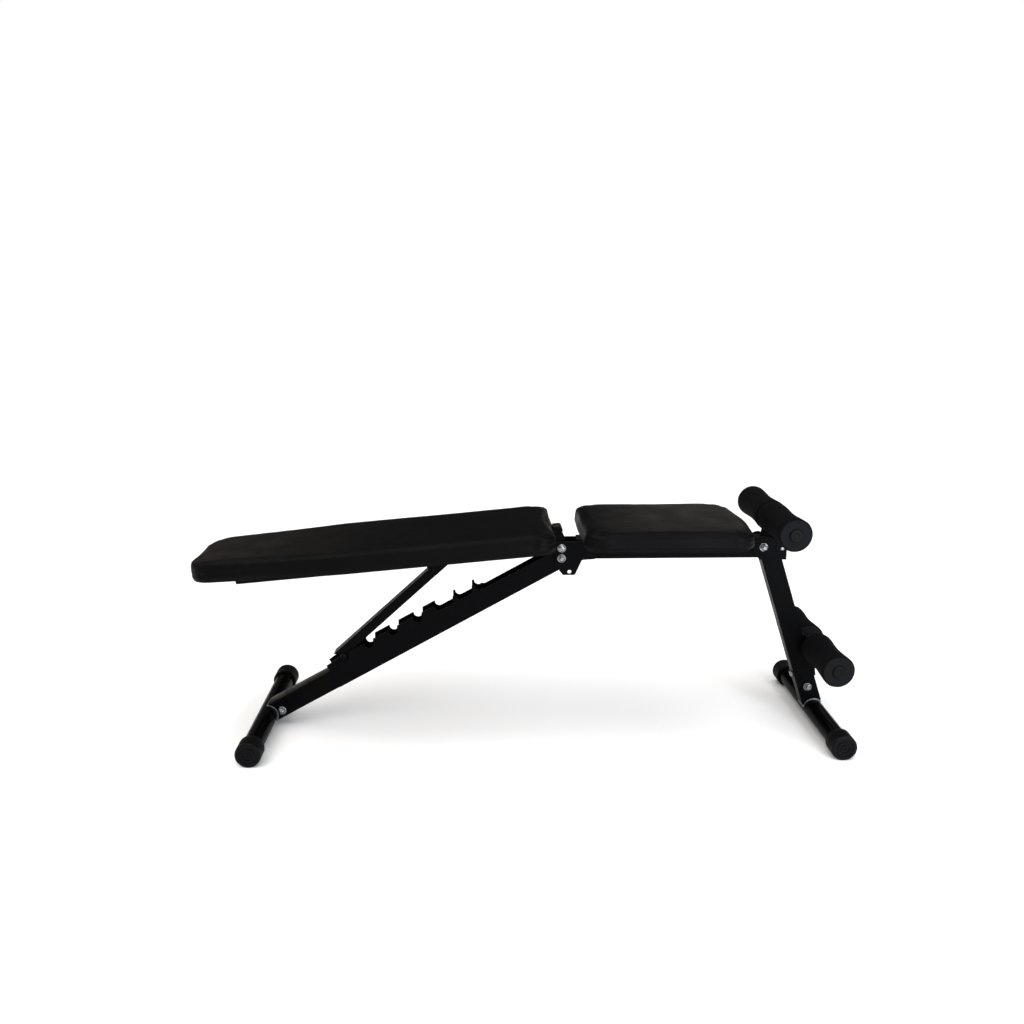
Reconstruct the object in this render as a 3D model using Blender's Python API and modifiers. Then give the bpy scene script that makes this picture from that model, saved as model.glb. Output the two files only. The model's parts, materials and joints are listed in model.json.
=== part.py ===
"""Adjustable weight bench: a seat frame with a hinged backrest held by a ladder strut, two folding
legs on round foot bars, and two pairs of foam rollers.  Metres, +Z up, +X towards the rollers, +Y to
the left of a person who sits facing +X.  The origin is on the floor below the middle of the bench."""
import math

import bmesh
import bpy
from mathutils import Matrix

# ---- driving dimensions -------------------------------------------------------------------------
GAP = 0.0003                      # space left between pieces that touch
WELD = 1e-5                       # merge distance, far below the smallest detail
TURN_STEPS = 20                   # sides of a turned piece
BOLT_STEPS = 12                   # sides of a bolt or a small pin

ORIGIN_X = 0.009                  # puts the origin under the middle of the whole bench
REAR_FOOT_X = -0.526
FRONT_FOOT_X = 0.6065
FOOT_LENGTH = 0.412
FOOT_TUBE_R = 0.0195
FOOT_CAP_R = 0.025
FOOT_CAP_LENGTH = 0.038
FOOT_WALL = 0.002
SADDLE_WALL = 0.0030
SADDLE_WRAP = 62                  # degrees of the foot bar that a saddle covers, each way

BACK_PIVOT = (0.0755, 0.3765)     # (x, z) of each hinge axis; all of them run along Y
LEG_PIVOT = (0.0755, 0.356)
FRONT_PIVOT = (0.481, 0.376)

RAIL_W = 0.040                    # seat rail: a channel with its open side down
RAIL_H = 0.040
RAIL_WALL = 0.0025
RAIL_BOTTOM_Z = 0.3535
RAIL_REAR_X = 0.1065
RAIL_FRONT_X = 0.5285
SIDE_PLATE = 0.004                # rear hinge plates
FRONT_PLATE = 0.003               # front bracket plates

SEAT_PAD_H = 0.037                # underside of a pad to the top of its crown
BACK_PAD_H = 0.040
PAD_SOFT = 0.013                  # width of a pad's rounded edge
BOARD = 0.010
BOARD_INSET = 0.012
MOUNT_PLATE = (0.030, 0.200, 0.003)
SEAT_PAD_X = (0.112, 0.435)
SEAT_PAD_W = 0.290
SEAT_CORNER = 0.038

BACK_TILT = math.radians(5.15)    # head end hangs below the hinge
BACK_RAIL = 0.030                 # square tube
BACK_RAIL_DROP = 0.0145           # rail's underside below the hinge axis
BACK_RAIL_LENGTH = 0.652          # hinge axis to the rail's head end
BACK_PAD_W = 0.280
BACK_PAD_HEAD_W = 0.205
BACK_PAD_TAPER = 0.280            # length over which the head end narrows
BACK_PAD_X = (-0.7235, -0.0140)   # along the backrest, from the hinge axis
BACK_HEAD_CORNER = 0.050
BACK_SHOULDER = 0.600
BACK_HINGE_CORNER = 0.028
EAR = 0.0018

LEG_W = 0.040                     # rear leg section, width and depth
LEG_WALL = 0.0025
RACK_TOP = 0.037                  # tooth tops above the leg's centre line
RACK_PLAIN_TOP = 0.019            # the channel's edge above the last notch
RACK_END = 0.526                  # where the channel meets the closed tube, from the leg's hinge
NOTCH_R = 0.0092
NOTCH_H = 0.0315
NOTCHES = (0.487, 0.428, 0.372, 0.315, 0.265, 0.217, 0.173)
FIN_FROM = 4                      # from this notch on, the tooth above it is a narrow fin
FIN_TIP = 0.0045

STRUT_PIVOT = (-0.2601, -0.0199)  # in the backrest's own frame
STRUT_OVER = 0.005                # bar's upper side above its hinge axis
STRUT_UNDER = 0.0138              # bar's underside below its hinge axis
STRUT_PIN_DROP = 0.0138           # cross pin below the line of the hinge axis
STRUT_PIN_R = 0.0075
STRUT_PIN_LENGTH = 0.046

FRONT_DEPTH = 0.040               # front leg section
FRONT_W = 0.030
FRONT_OFFSET = 0.0105             # leg's centre line in front of its hinge

BAR_R = 0.0105
BAR_WALL = 0.0015
FOAM_R = 0.0315
FOAM_WAIST = 0.0295
FOAM_END = 0.162                  # outer end of every foam roller, from the middle plane
UPPER_FOAM_START = 0.0045
LOWER_FOAM_START = 0.0240
UPPER_BAR = (0.502, 0.433)
LOWER_BAR = (0.0480, -0.2402)     # in the front leg's own frame

M8 = 0.004
M6 = 0.003
FOOT_Z = FOOT_CAP_R


def hypotenuse(a, b):
    return math.hypot(b[0] - a[0], b[1] - a[1])


def front_tilt():
    """Angle of the front leg from upright, with its centre line through the foot bar."""
    run = FRONT_FOOT_X - FRONT_PIVOT[0]
    drop = FRONT_PIVOT[1] - FOOT_Z
    return math.atan2(run, drop) - math.asin(FRONT_OFFSET / math.hypot(run, drop))


REAR_LEG_LENGTH = hypotenuse(LEG_PIVOT, (REAR_FOOT_X, FOOT_Z))
REAR_TILT = math.atan2(LEG_PIVOT[1] - FOOT_Z, LEG_PIVOT[0] - REAR_FOOT_X)
FRONT_TILT = front_tilt()
FRONT_LEG_LENGTH = math.sqrt(hypotenuse(FRONT_PIVOT, (FRONT_FOOT_X, FOOT_Z)) ** 2 - FRONT_OFFSET ** 2)

COLORS = {
    "black_steel": ((0.022, 0.022, 0.024), 0.45, 0.6),
    "zinc_steel": ((0.62, 0.62, 0.60), 0.35, 1.0),
    "black_vinyl": ((0.020, 0.019, 0.020), 0.50, 0.0),
    "black_foam": ((0.016, 0.016, 0.018), 0.90, 0.0),
    "black_plastic": ((0.018, 0.018, 0.018), 0.40, 0.0),
    "plywood": ((0.50, 0.36, 0.20), 0.80, 0.0),
}


# ---- helpers ------------------------------------------------------------------------------------
def clear_scene():
    for obj in list(bpy.data.objects):
        bpy.data.objects.remove(obj, do_unlink=True)


def make_collection(name):
    collection = bpy.data.collections.new(name)
    bpy.context.scene.collection.children.link(collection)
    return collection


def make_material(name):
    color, roughness, metallic = COLORS[name]
    material = bpy.data.materials.new(name)
    material.use_nodes = True
    shader = material.node_tree.nodes["Principled BSDF"]
    shader.inputs["Base Color"].default_value = (*color, 1)
    shader.inputs["Roughness"].default_value = roughness
    shader.inputs["Metallic"].default_value = metallic
    return material


clear_scene()
BENCH = make_collection("weight_bench")
CUTTERS = make_collection("cutters")
MATERIALS = {name: make_material(name) for name in COLORS}


def frame_at(name, pivot, tilt=0.0, parent=None):
    """An empty on a hinge axis, turned so that its own X runs along the piece that swings there."""
    empty = bpy.data.objects.new(name, None)
    BENCH.objects.link(empty)
    empty.location = (pivot[0], 0, pivot[1])
    empty.rotation_euler = (0, -tilt, 0)
    empty.parent = parent
    return empty


def finish(obj, material, parent):
    """Put a new mesh object in the bench, with its material, under its frame."""
    BENCH.objects.link(obj)
    obj.data.materials.append(MATERIALS[material])
    obj.parent = parent
    obj.data.shade_smooth()
    obj.data.set_sharp_from_angle(angle=math.radians(35))
    return obj


def flat_mesh(name, loops, thickness):
    """Closed loops in the XY plane, filled and extruded to a thickness that is centred on Z."""
    curve = bpy.data.curves.new(name, "CURVE")
    curve.dimensions = "2D"
    curve.fill_mode = "BOTH"
    curve.extrude = thickness / 2
    for loop in loops:
        spline = curve.splines.new("POLY")
        spline.points.add(len(loop) - 1)
        for point, (x, y) in zip(spline.points, loop):
            point.co = (x, y, 0, 1)
        spline.use_cyclic_u = True
    guide = bpy.data.objects.new(name, curve)
    bpy.context.scene.collection.objects.link(guide)
    bpy.context.view_layer.update()
    mesh = bpy.data.meshes.new_from_object(guide.evaluated_get(bpy.context.evaluated_depsgraph_get()))
    bpy.data.objects.remove(guide, do_unlink=True)
    bm = bmesh.new()
    bm.from_mesh(mesh)
    bmesh.ops.remove_doubles(bm, verts=bm.verts, dist=WELD)
    bmesh.ops.recalc_face_normals(bm, faces=bm.faces)
    bm.to_mesh(mesh)
    bm.free()
    mesh.name = name
    return mesh


def side_mesh(name, loops, width):
    """Loops drawn as (x, z) from the side, extruded to a width that is centred on Y."""
    mesh = flat_mesh(name, loops, width)
    mesh.transform(Matrix.Rotation(math.radians(90), 4, "X"))
    return mesh


def side_plate(name, outline, y_from, y_to, material, parent):
    """A plate seen from the side, between two places across the bench."""
    mesh = side_mesh(name, [outline], abs(y_to - y_from))
    mesh.transform(Matrix.Translation((0, (y_from + y_to) / 2, 0)))
    return finish(bpy.data.objects.new(name, mesh), material, parent)


def end_on_bar(name, loops, x_from, x_to, material, parent):
    """A section drawn as (y, z), extruded along X."""
    mesh = flat_mesh(name, loops, abs(x_to - x_from))
    turn = Matrix.Rotation(math.radians(90), 4, "Z") @ Matrix.Rotation(math.radians(90), 4, "X")
    mesh.transform(Matrix.Translation(((x_from + x_to) / 2, 0, 0)) @ turn)
    return finish(bpy.data.objects.new(name, mesh), material, parent)


def plan_plate(name, outline, z_from, z_to, material, parent):
    """A plate seen from above, between two heights."""
    mesh = flat_mesh(name, [outline], z_to - z_from)
    mesh.transform(Matrix.Translation((0, 0, (z_from + z_to) / 2)))
    return finish(bpy.data.objects.new(name, mesh), material, parent)


def turned(name, profile, center, material, parent, ring=False, steps=TURN_STEPS, flip=False):
    """A (radius, y) profile turned about the Y axis through center (x, z).  A solid's profile starts
    and ends on the axis; a ring's profile is closed.  It runs from +Y to -Y down the outer side."""
    mesh = bpy.data.meshes.new(name)
    points = [(r, 0, y) for r, y in profile]
    edges = [(i, i + 1) for i in range(len(points) - 1)]
    if ring:
        edges.append((len(points) - 1, 0))
    mesh.from_pydata(points, edges, [])
    obj = finish(bpy.data.objects.new(name, mesh), material, parent)
    screw = obj.modifiers.new("turn", "SCREW")
    screw.steps = steps
    screw.render_steps = steps
    screw.use_merge_vertices = True
    screw.merge_threshold = WELD
    screw.use_smooth_shade = True
    obj.location = (center[0], 0, center[1])
    obj.rotation_euler = (math.radians(90 if flip else -90), 0, 0)
    return obj


def rectangle(x_low, x_high, z_low, z_high):
    return [(x_low, z_low), (x_high, z_low), (x_high, z_high), (x_low, z_high)]


def arc(center, radius, start, end, steps):
    """Points on an arc, with its angles in degrees."""
    turns = (math.radians(start + (end - start) * i / steps) for i in range(steps + 1))
    return [(center[0] + radius * math.cos(t), center[1] + radius * math.sin(t)) for t in turns]


def rounded(corners, radius, steps=4):
    """An outline, counter-clockwise, with each corner rounded; radius may be one per corner, and 0
    leaves a corner sharp."""
    radii = radius if isinstance(radius, (list, tuple)) else [radius] * len(corners)
    outline = []
    for i, (corner, r) in enumerate(zip(corners, radii)):
        if not r:
            outline.append(corner)
            continue
        before = corners[i - 1]
        after = corners[(i + 1) % len(corners)]
        angle_in = math.atan2(corner[1] - before[1], corner[0] - before[0])
        angle_out = math.atan2(after[1] - corner[1], after[0] - corner[0])
        turn = (angle_out - angle_in + math.pi) % (2 * math.pi) - math.pi
        side = math.copysign(1, turn)
        back = r * math.tan(abs(turn) / 2)
        center = (corner[0] - back * math.cos(angle_in) - side * r * math.sin(angle_in),
                  corner[1] - back * math.sin(angle_in) + side * r * math.cos(angle_in))
        start = math.degrees(angle_in) - side * 90
        outline += arc(center, r, start, start + math.degrees(turn), steps)
    return outline


def cutter(obj):
    """Move an object to the cutters, which the bench is not made of."""
    for collection in list(obj.users_collection):
        collection.objects.unlink(obj)
    CUTTERS.objects.link(obj)
    obj.hide_render = True
    obj.display_type = "WIRE"
    return obj


def boolean(obj, tool, operation="DIFFERENCE"):
    modifier = obj.modifiers.new(operation.lower(), "BOOLEAN")
    modifier.operation = operation
    modifier.solver = "EXACT"
    modifier.object = tool


def round_cutter(name, center, radius, parent, reach=0.06, steps=16):
    """A prism along Y whose flats lie at the radius, for round holes and hollows."""
    radius /= math.cos(math.pi / steps)
    profile = [(0, reach), (radius, reach), (radius, -reach), (0, -reach)]
    return cutter(turned(name, profile, center, "black_steel", parent, steps=steps))


def side_cutter(name, outline, y_from, y_to, parent):
    return cutter(side_plate(name, outline, y_from, y_to, "black_steel", parent))


def soften(obj, width, segments=2, angle=40):
    bevel = obj.modifiers.new("soft edges", "BEVEL")
    bevel.width = width
    bevel.segments = segments
    bevel.limit_method = "ANGLE"
    bevel.angle_limit = math.radians(angle)


def bolt(name, center, shank_r, half_grip, tail, parent, material="zinc_steel"):
    """Domed screw along Y: a washer and a head on the right side, and a shank that ends tail beyond
    the grip on the left side, where the nut sits."""
    head = 2.1 * shank_r
    washer = 2.25 * shank_r
    y = half_grip + GAP
    profile = [(0, half_grip + tail), (0.8 * shank_r, half_grip + tail),
               (shank_r, half_grip + tail - 0.2 * shank_r), (shank_r, -y), (washer, -y),
               (washer, -y - 0.0012), (head * 0.96, -y - 0.0034),
               (head * 0.6, -y - 0.0050), (0, -y - 0.0054)]
    return turned(name, profile, center, material, parent, steps=BOLT_STEPS)


def nut(name, center, shank_r, half_grip, parent, material="zinc_steel"):
    """Hexagon nut with a washer face, around the bolt's left end."""
    bore = shank_r + GAP
    across = 2.0 * shank_r
    y = half_grip + GAP
    corners = arc((0, 0), across, 0, 300, 5)
    body = side_plate(name, [(center[0] + x, center[1] + z) for x, z in corners],
                      y, y + 1.7 * shank_r, material, parent)
    boolean(body, round_cutter(name + "_bore", center, bore, parent))
    return body


def bolt_set(name, center, shank_r, half_grip, parent, material="zinc_steel"):
    bolt(name + "_bolt", center, shank_r, half_grip, 1.7 * shank_r + 0.0022, parent, material)
    nut(name + "_nut", center, shank_r, half_grip, parent, material)


# ---- seat frame ---------------------------------------------------------------------------------
def channel_section(width, height, wall, open_down):
    """A three-sided section as (y, z) about the middle of its box."""
    w = width / 2
    h = height / 2
    points = [(-w, h), (-w, -h), (-w + wall, -h), (-w + wall, h - wall),
              (w - wall, h - wall), (w - wall, -h), (w, -h), (w, h)]
    return points if open_down else [(y, -z) for y, z in points]


def tube_section(width, height, wall, radius, center_z=0.0):
    """A square tube's outer and inner loops as (y, z)."""
    w = width / 2
    h = height / 2
    loops = []
    for inset, r in ((0, radius), (wall, max(radius - wall, 0.0005))):
        box = rectangle(-w + inset, w - inset, -h + inset, h - inset)
        loops.append([(y, z + center_z) for y, z in rounded(box, r, 2)])
    return loops


def make_seat_frame():
    base = frame_at("seat_frame", (ORIGIN_X, 0))
    half = RAIL_W / 2
    rail_mid_z = RAIL_BOTTOM_Z + RAIL_H / 2
    rail_top_z = RAIL_BOTTOM_Z + RAIL_H

    section = [(y, z + rail_mid_z) for y, z in channel_section(RAIL_W, RAIL_H, RAIL_WALL, True)]
    rail = end_on_bar("seat_rail", [section], RAIL_REAR_X, RAIL_FRONT_X, "black_steel", base)

    hinge_outline = hinge_plate_outline()
    lobe_outline = front_plate_outline(rail_top_z)
    stop = front_stop_place()
    holes = {
        "back": round_cutter("back_pivot_hole", BACK_PIVOT, M8 + GAP, base),
        "leg": round_cutter("leg_pivot_hole", LEG_PIVOT, M8 + GAP, base),
        "lock": round_cutter("lock_hole", (LEG_PIVOT[0] + 0.0160, LEG_PIVOT[1] - 0.0285), M8, base),
        "front": round_cutter("front_pivot_hole", FRONT_PIVOT, M8 + GAP, base),
        "stop": round_cutter("front_stop_hole", stop, M8 + GAP, base),
    }
    for side, sign in (("left", 1), ("right", -1)):
        inner = sign * (half + GAP)
        plate = side_plate("hinge_plate_" + side, hinge_outline, inner,
                           inner + sign * SIDE_PLATE, "black_steel", base)
        for key in ("back", "leg", "lock"):
            boolean(plate, holes[key])
        plate = side_plate("front_bracket_" + side, lobe_outline, inner,
                           inner + sign * FRONT_PLATE, "black_steel", base)
        for key in ("front", "stop"):
            boolean(plate, holes[key])
    for key in ("front", "stop"):
        boolean(rail, holes[key])

    plate_grip = half + GAP + SIDE_PLATE
    bracket_grip = half + GAP + FRONT_PLATE
    bolt_set("backrest_pivot", BACK_PIVOT, M8, plate_grip, base)
    bolt_set("rear_leg_pivot", LEG_PIVOT, M8, plate_grip, base)
    bolt_set("front_leg_pivot", FRONT_PIVOT, M8, bracket_grip, base)
    pin_half = bracket_grip + 0.002
    pin = [(0, pin_half), (M8 - 0.001, pin_half), (M8, pin_half - 0.001), (M8, 0.001 - pin_half),
           (M8 - 0.001, -pin_half), (0, -pin_half)]
    turned("front_leg_stop_pin", pin, stop, "zinc_steel", base, steps=BOLT_STEPS)

    stop_r = 0.0055
    turned("rear_leg_stop_pin", [(0, half), (stop_r, half), (stop_r, -half), (0, -half)],
           rear_stop_place(stop_r), "black_steel", base, steps=BOLT_STEPS)
    make_seat_cushion(base, rail_top_z)
    make_upper_roller(base, rail_top_z)
    return base


def hinge_plate_outline():
    """The rear hinge plate: a flag along the rail with a lug below the two pivots."""
    left = BACK_PIVOT[0] - 0.0140
    top = RAIL_BOTTOM_Z + RAIL_H - 0.004
    low = LEG_PIVOT[1] - 0.0350
    corners = [(left, LEG_PIVOT[1] - 0.013), (LEG_PIVOT[0] + 0.003, low), (LEG_PIVOT[0] + 0.027, low),
               (0.1165, RAIL_BOTTOM_Z - 0.0015), (0.142, RAIL_BOTTOM_Z), (0.142, top), (left, top)]
    return rounded(corners, [0.006, 0.004, 0.004, 0.004, 0, 0, 0.006], 3)


def front_plate_outline(top):
    """The front bracket plate: a round lobe about the hinge and a straight foot along the rail."""
    low = RAIL_BOTTOM_Z - 0.0040
    lobe = arc(FRONT_PIVOT, 0.0225, 90, 228, 10)
    return lobe + [(FRONT_PIVOT[0] - 0.007, low), (RAIL_FRONT_X, low), (RAIL_FRONT_X, top - 0.002),
                   (FRONT_PIVOT[0] + 0.022, top - 0.002)]


def front_stop_place():
    """The stop pin lies against the front leg's outer face, level with its hinge."""
    along = FRONT_OFFSET + FRONT_DEPTH / 2 + M8 + 2 * GAP
    down = 0.0150
    return (FRONT_PIVOT[0] + along * math.cos(FRONT_TILT) + down * math.sin(FRONT_TILT),
            FRONT_PIVOT[1] + along * math.sin(FRONT_TILT) - down * math.cos(FRONT_TILT))


def rear_stop_place(stop_r):
    """The stop pin lies under the tail of the rear leg, past its hinge."""
    past = 0.0155
    below = LEG_W / 2 + stop_r + GAP
    return (LEG_PIVOT[0] + past * math.cos(REAR_TILT) + below * math.sin(REAR_TILT),
            LEG_PIVOT[1] + past * math.sin(REAR_TILT) - below * math.cos(REAR_TILT))


def cushion(name, outline_at, z_low, height, parent):
    """A pad with a board let into its underside.  outline_at gives the pad's outline for an inset."""
    pad = plan_plate(name + "_pad", outline_at(0.0), z_low, z_low + height, "black_vinyl", parent)
    soften(pad, PAD_SOFT)
    pocket = cutter(plan_plate(name + "_pocket", outline_at(BOARD_INSET - GAP), z_low - 0.01,
                               z_low + BOARD + GAP, "plywood", parent))
    boolean(pad, pocket)
    plan_plate(name + "_board", outline_at(BOARD_INSET), z_low, z_low + BOARD, "plywood", parent)


def make_seat_cushion(base, rail_top_z):
    plate_x, plate_y, plate_z = MOUNT_PLATE
    for name, x in (("rear", SEAT_PAD_X[0] + 0.045), ("front", SEAT_PAD_X[1] - 0.045)):
        plate = rectangle(x - plate_x / 2, x + plate_x / 2, -plate_y / 2, plate_y / 2)
        plan_plate("seat_mount_plate_" + name, rounded(plate, 0.006, 2), rail_top_z + GAP,
                   rail_top_z + GAP + plate_z, "black_steel", base)

    def outline(inset):
        box = rectangle(SEAT_PAD_X[0] + inset, SEAT_PAD_X[1] - inset,
                        -SEAT_PAD_W / 2 + inset, SEAT_PAD_W / 2 - inset)
        return rounded(box, SEAT_CORNER - inset, 5)

    cushion("seat", outline, rail_top_z + plate_z + 2 * GAP, SEAT_PAD_H, base)


# ---- foam rollers -------------------------------------------------------------------------------
def roller_bar(name, center, parent):
    """A tube across the bench, with a plug pressed into each end."""
    inner = BAR_R - BAR_WALL
    ring = [(BAR_R, FOAM_END), (BAR_R, -FOAM_END), (inner, -FOAM_END), (inner, FOAM_END)]
    turned(name + "_bar", ring, center, "black_steel", parent, ring=True)
    stem = inner - GAP
    face = FOAM_END + 2 * GAP
    for side, flip in (("left", False), ("right", True)):
        profile = [(0, face + 0.003), (0.0105, face + 0.003), (0.0125, face + 0.0015), (0.0125, face),
                   (stem, face), (stem, FOAM_END - 0.018), (0, FOAM_END - 0.018)]
        turned(name + "_plug_" + side, profile, center, "black_plastic", parent, flip=flip)


def foam_rollers(name, center, start, parent):
    """Two foam sleeves on one bar, fuller at their ends than in the middle."""
    bore = BAR_R + GAP
    for side, sign in (("left", 1), ("right", -1)):
        low, high = start, FOAM_END
        middle = (low + high) / 2
        outer = [(FOAM_R - 0.004, high), (FOAM_R, high - 0.005), (FOAM_R, high - 0.026),
                 (FOAM_WAIST, middle), (FOAM_R, low + 0.026), (FOAM_R, low + 0.005),
                 (FOAM_R - 0.004, low)]
        ring = outer + [(bore, low), (bore, high)]
        turned(f"{name}_foam_{side}", ring, center, "black_foam", parent, ring=True, flip=sign < 0)


def make_upper_roller(base, rail_top_z):
    x, z = UPPER_BAR
    foot = rail_top_z + GAP
    eye = arc(UPPER_BAR, 0.017, -20, 200, 10)
    outline = [(RAIL_FRONT_X - 0.004, foot)] + eye + [(x - 0.024, foot)]
    bracket = side_plate("upper_roller_bracket", outline, -0.003, 0.003, "black_steel", base)
    boolean(bracket, round_cutter("upper_bar_hole", UPPER_BAR, BAR_R + GAP, base))
    roller_bar("upper_roller", UPPER_BAR, base)
    foam_rollers("upper", (0, 0), UPPER_FOAM_START, frame_at("upper_rollers", (x, z), 0, base))


# ---- backrest -----------------------------------------------------------------------------------
def backrest_outline(inset):
    """Plan of the backrest pad: straight sides that narrow to a rounded head end."""
    x_head, x_hinge = BACK_PAD_X[0] + inset, BACK_PAD_X[1] - inset
    wide = BACK_PAD_W / 2 - inset
    narrow = BACK_PAD_HEAD_W / 2 - inset
    taper = x_head + BACK_PAD_TAPER
    corners = [(x_head, -narrow), (taper, -wide), (x_hinge, -wide),
               (x_hinge, wide), (taper, wide), (x_head, narrow)]
    head, hinge = BACK_HEAD_CORNER - inset, BACK_HINGE_CORNER - inset
    return rounded(corners, [head, BACK_SHOULDER, hinge, hinge, BACK_SHOULDER, head], 5)


def make_backrest(base):
    back = frame_at("backrest", BACK_PIVOT, BACK_TILT, base)
    low = -BACK_RAIL_DROP
    top = low + BACK_RAIL
    rail_half = BACK_RAIL / 2
    sleeve_r = 0.0105
    rail_start = -sleeve_r - GAP
    end_on_bar("backrest_rail", tube_section(BACK_RAIL, BACK_RAIL, 0.002, 0.003, (low + top) / 2),
               -BACK_RAIL_LENGTH, rail_start, "black_steel", back)
    plug_face = -BACK_RAIL_LENGTH - GAP
    plug = end_on_bar("backrest_rail_plug", [rounded(rectangle(-rail_half, rail_half, low, top), 0.003, 2)],
                      plug_face - 0.003, plug_face, "black_plastic", back)
    inner = rail_half - 0.002 - GAP
    middle = (low + top) / 2
    stem = end_on_bar("backrest_plug_stem", [rectangle(-inner, inner, middle - inner, middle + inner)],
                      plug_face - 0.001, plug_face + 0.018, "black_plastic", back)
    boolean(plug, cutter(stem), "UNION")

    bore = M8 + GAP
    half = rail_half
    turned("backrest_pivot_sleeve", [(sleeve_r, half), (sleeve_r, -half), (bore, -half), (bore, half)],
           (0, 0), "black_steel", back, ring=True)
    ear = ([(-0.055, low)] + arc((0, 0), 0.0145, -100, 40, 9)
           + [(-0.0010, 0.0430), (-0.0134, 0.0430), (-0.0134, top - 0.002), (-0.055, top - 0.002)])
    pivot_hole = round_cutter("ear_pivot_hole", (0, 0), bore, back)
    x, z = STRUT_PIVOT
    hanger = ([(x - 0.018, low + 0.016)] + arc((x, z), 0.0085, 200, 340, 6) + [(x + 0.018, low + 0.016)])
    strut_hole = round_cutter("strut_pivot_hole", (x, z), M6 + GAP, back)
    for side, sign in (("left", 1), ("right", -1)):
        inner_y = sign * (half + GAP)
        outer_y = inner_y + sign * EAR
        plate = side_plate("backrest_ear_" + side, ear, inner_y, outer_y, "black_steel", back)
        boolean(plate, pivot_hole)
        plate = side_plate("strut_hanger_" + side, hanger, inner_y, outer_y, "black_steel", back)
        boolean(plate, strut_hole)
    bolt_set("strut_pivot", (x, z), M6, half + GAP + EAR, back, "black_steel")

    plate_x, plate_y, plate_z = MOUNT_PLATE
    for name, place in (("head", BACK_PAD_X[0] + 0.110), ("hinge", BACK_PAD_X[1] - 0.110)):
        plate = rectangle(place - plate_x / 2, place + plate_x / 2, -plate_y / 2, plate_y / 2)
        plan_plate("backrest_mount_plate_" + name, rounded(plate, 0.006, 2), top + GAP,
                   top + GAP + plate_z, "black_steel", back)
    cushion("backrest", backrest_outline, top + plate_z + 2 * GAP, BACK_PAD_H, back)
    return back


def make_strut(back):
    """The prop under the backrest.  Its cross pin lies in a groove under its lower end and rests in a
    notch of the rack."""
    lean = strut_direction() - math.asin(STRUT_PIN_DROP / strut_reach())
    pin_x = -math.sqrt(strut_reach() ** 2 - STRUT_PIN_DROP ** 2)
    strut = frame_at("strut", STRUT_PIVOT, lean - BACK_TILT, back)
    end = pin_x - 0.010
    bevel = (STRUT_OVER + STRUT_UNDER) * math.tan(lean)
    outline = ([(end + bevel, -STRUT_UNDER), (0.0005, -STRUT_UNDER)]
               + arc((0, 0), STRUT_OVER, -15, 90, 6) + [(end, STRUT_OVER)])
    bar = side_plate("strut_bar", outline, -BACK_RAIL / 2, BACK_RAIL / 2, "black_steel", strut)
    boolean(bar, round_cutter("strut_eye", (0, 0), M6 + GAP, strut))
    pin = (pin_x, -STRUT_PIN_DROP)
    boolean(bar, round_cutter("strut_pin_groove", pin, STRUT_PIN_R + GAP, strut))
    half = STRUT_PIN_LENGTH / 2
    edge = STRUT_PIN_R - 0.001
    profile = [(0, half), (edge, half), (STRUT_PIN_R, half - 0.001), (STRUT_PIN_R, 0.001 - half),
               (edge, -half), (0, -half)]
    turned("strut_pin", profile, pin, "black_steel", strut)


def strut_ends():
    """World (x, z) of the strut's hinge and of its pin at rest in the lowest notch."""
    x, z = STRUT_PIVOT
    cos, sin = math.cos(BACK_TILT), math.sin(BACK_TILT)
    hinge = (BACK_PIVOT[0] + x * cos - z * sin, BACK_PIVOT[1] + x * sin + z * cos)
    s = NOTCHES[0]
    cos, sin = math.cos(REAR_TILT), math.sin(REAR_TILT)
    seat = (LEG_PIVOT[0] - s * cos - NOTCH_H * sin, LEG_PIVOT[1] - s * sin + NOTCH_H * cos)
    return hinge, (seat[0], seat[1] - (NOTCH_R - STRUT_PIN_R - 2 * GAP))


def strut_reach():
    return hypotenuse(*strut_ends())


def strut_direction():
    """Slope of the line from the pin up to the strut's hinge."""
    hinge, pin = strut_ends()
    return math.atan2(hinge[1] - pin[1], hinge[0] - pin[0])


# ---- rear leg -----------------------------------------------------------------------------------
def rack_outline():
    """Side of the toothed channel in the leg's frame, from its tail past the hinge to its lower end
    and back along the notched edge.  Every notch has a round seat under a hooked lip.  The lower ones
    have a wall that stands upright when the bench is in use and a flat tooth above it; the upper ones
    open into a long gap that ends at a narrow fin, and the last one opens to the plain edge."""
    low = -LEG_W / 2
    tail = 0.018
    lean = math.degrees(REAR_TILT)
    upright = math.tan(REAR_TILT)             # how far an upright wall moves along the leg per height
    seat_floor = NOTCH_H - NOTCH_R
    hook = -lean - 155
    outline = [(-RACK_END, RACK_TOP - 0.004), (-RACK_END, low), (tail, low), (tail, low + 0.003)]
    outline += arc((0, 0), 0.0148, -14, 78, 6)
    outline += [(-0.003, RACK_PLAIN_TOP), (-NOTCHES[-1] + 0.008, RACK_PLAIN_TOP)]
    last = len(NOTCHES) - 1
    for i in range(last, -1, -1):
        seat = (-NOTCHES[i], NOTCH_H)
        if i == last:
            outline += arc(seat, NOTCH_R, -75, hook, 6)
        elif i >= FIN_FROM:
            tip = outline[-1][0] - FIN_TIP
            outline += [(tip, RACK_TOP), (tip - (RACK_TOP - seat_floor) * upright, seat_floor)]
            outline += arc(seat, NOTCH_R, -90, hook, 6)
        else:
            seat_arc = arc(seat, NOTCH_R, -lean, hook, 7)
            foot_x, foot_h = seat_arc[0]
            outline += [(foot_x + (RACK_TOP - foot_h) * upright, RACK_TOP)] + seat_arc
        outline += [(seat[0] - NOTCH_R + 0.0015, RACK_TOP)]
    return outline


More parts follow.
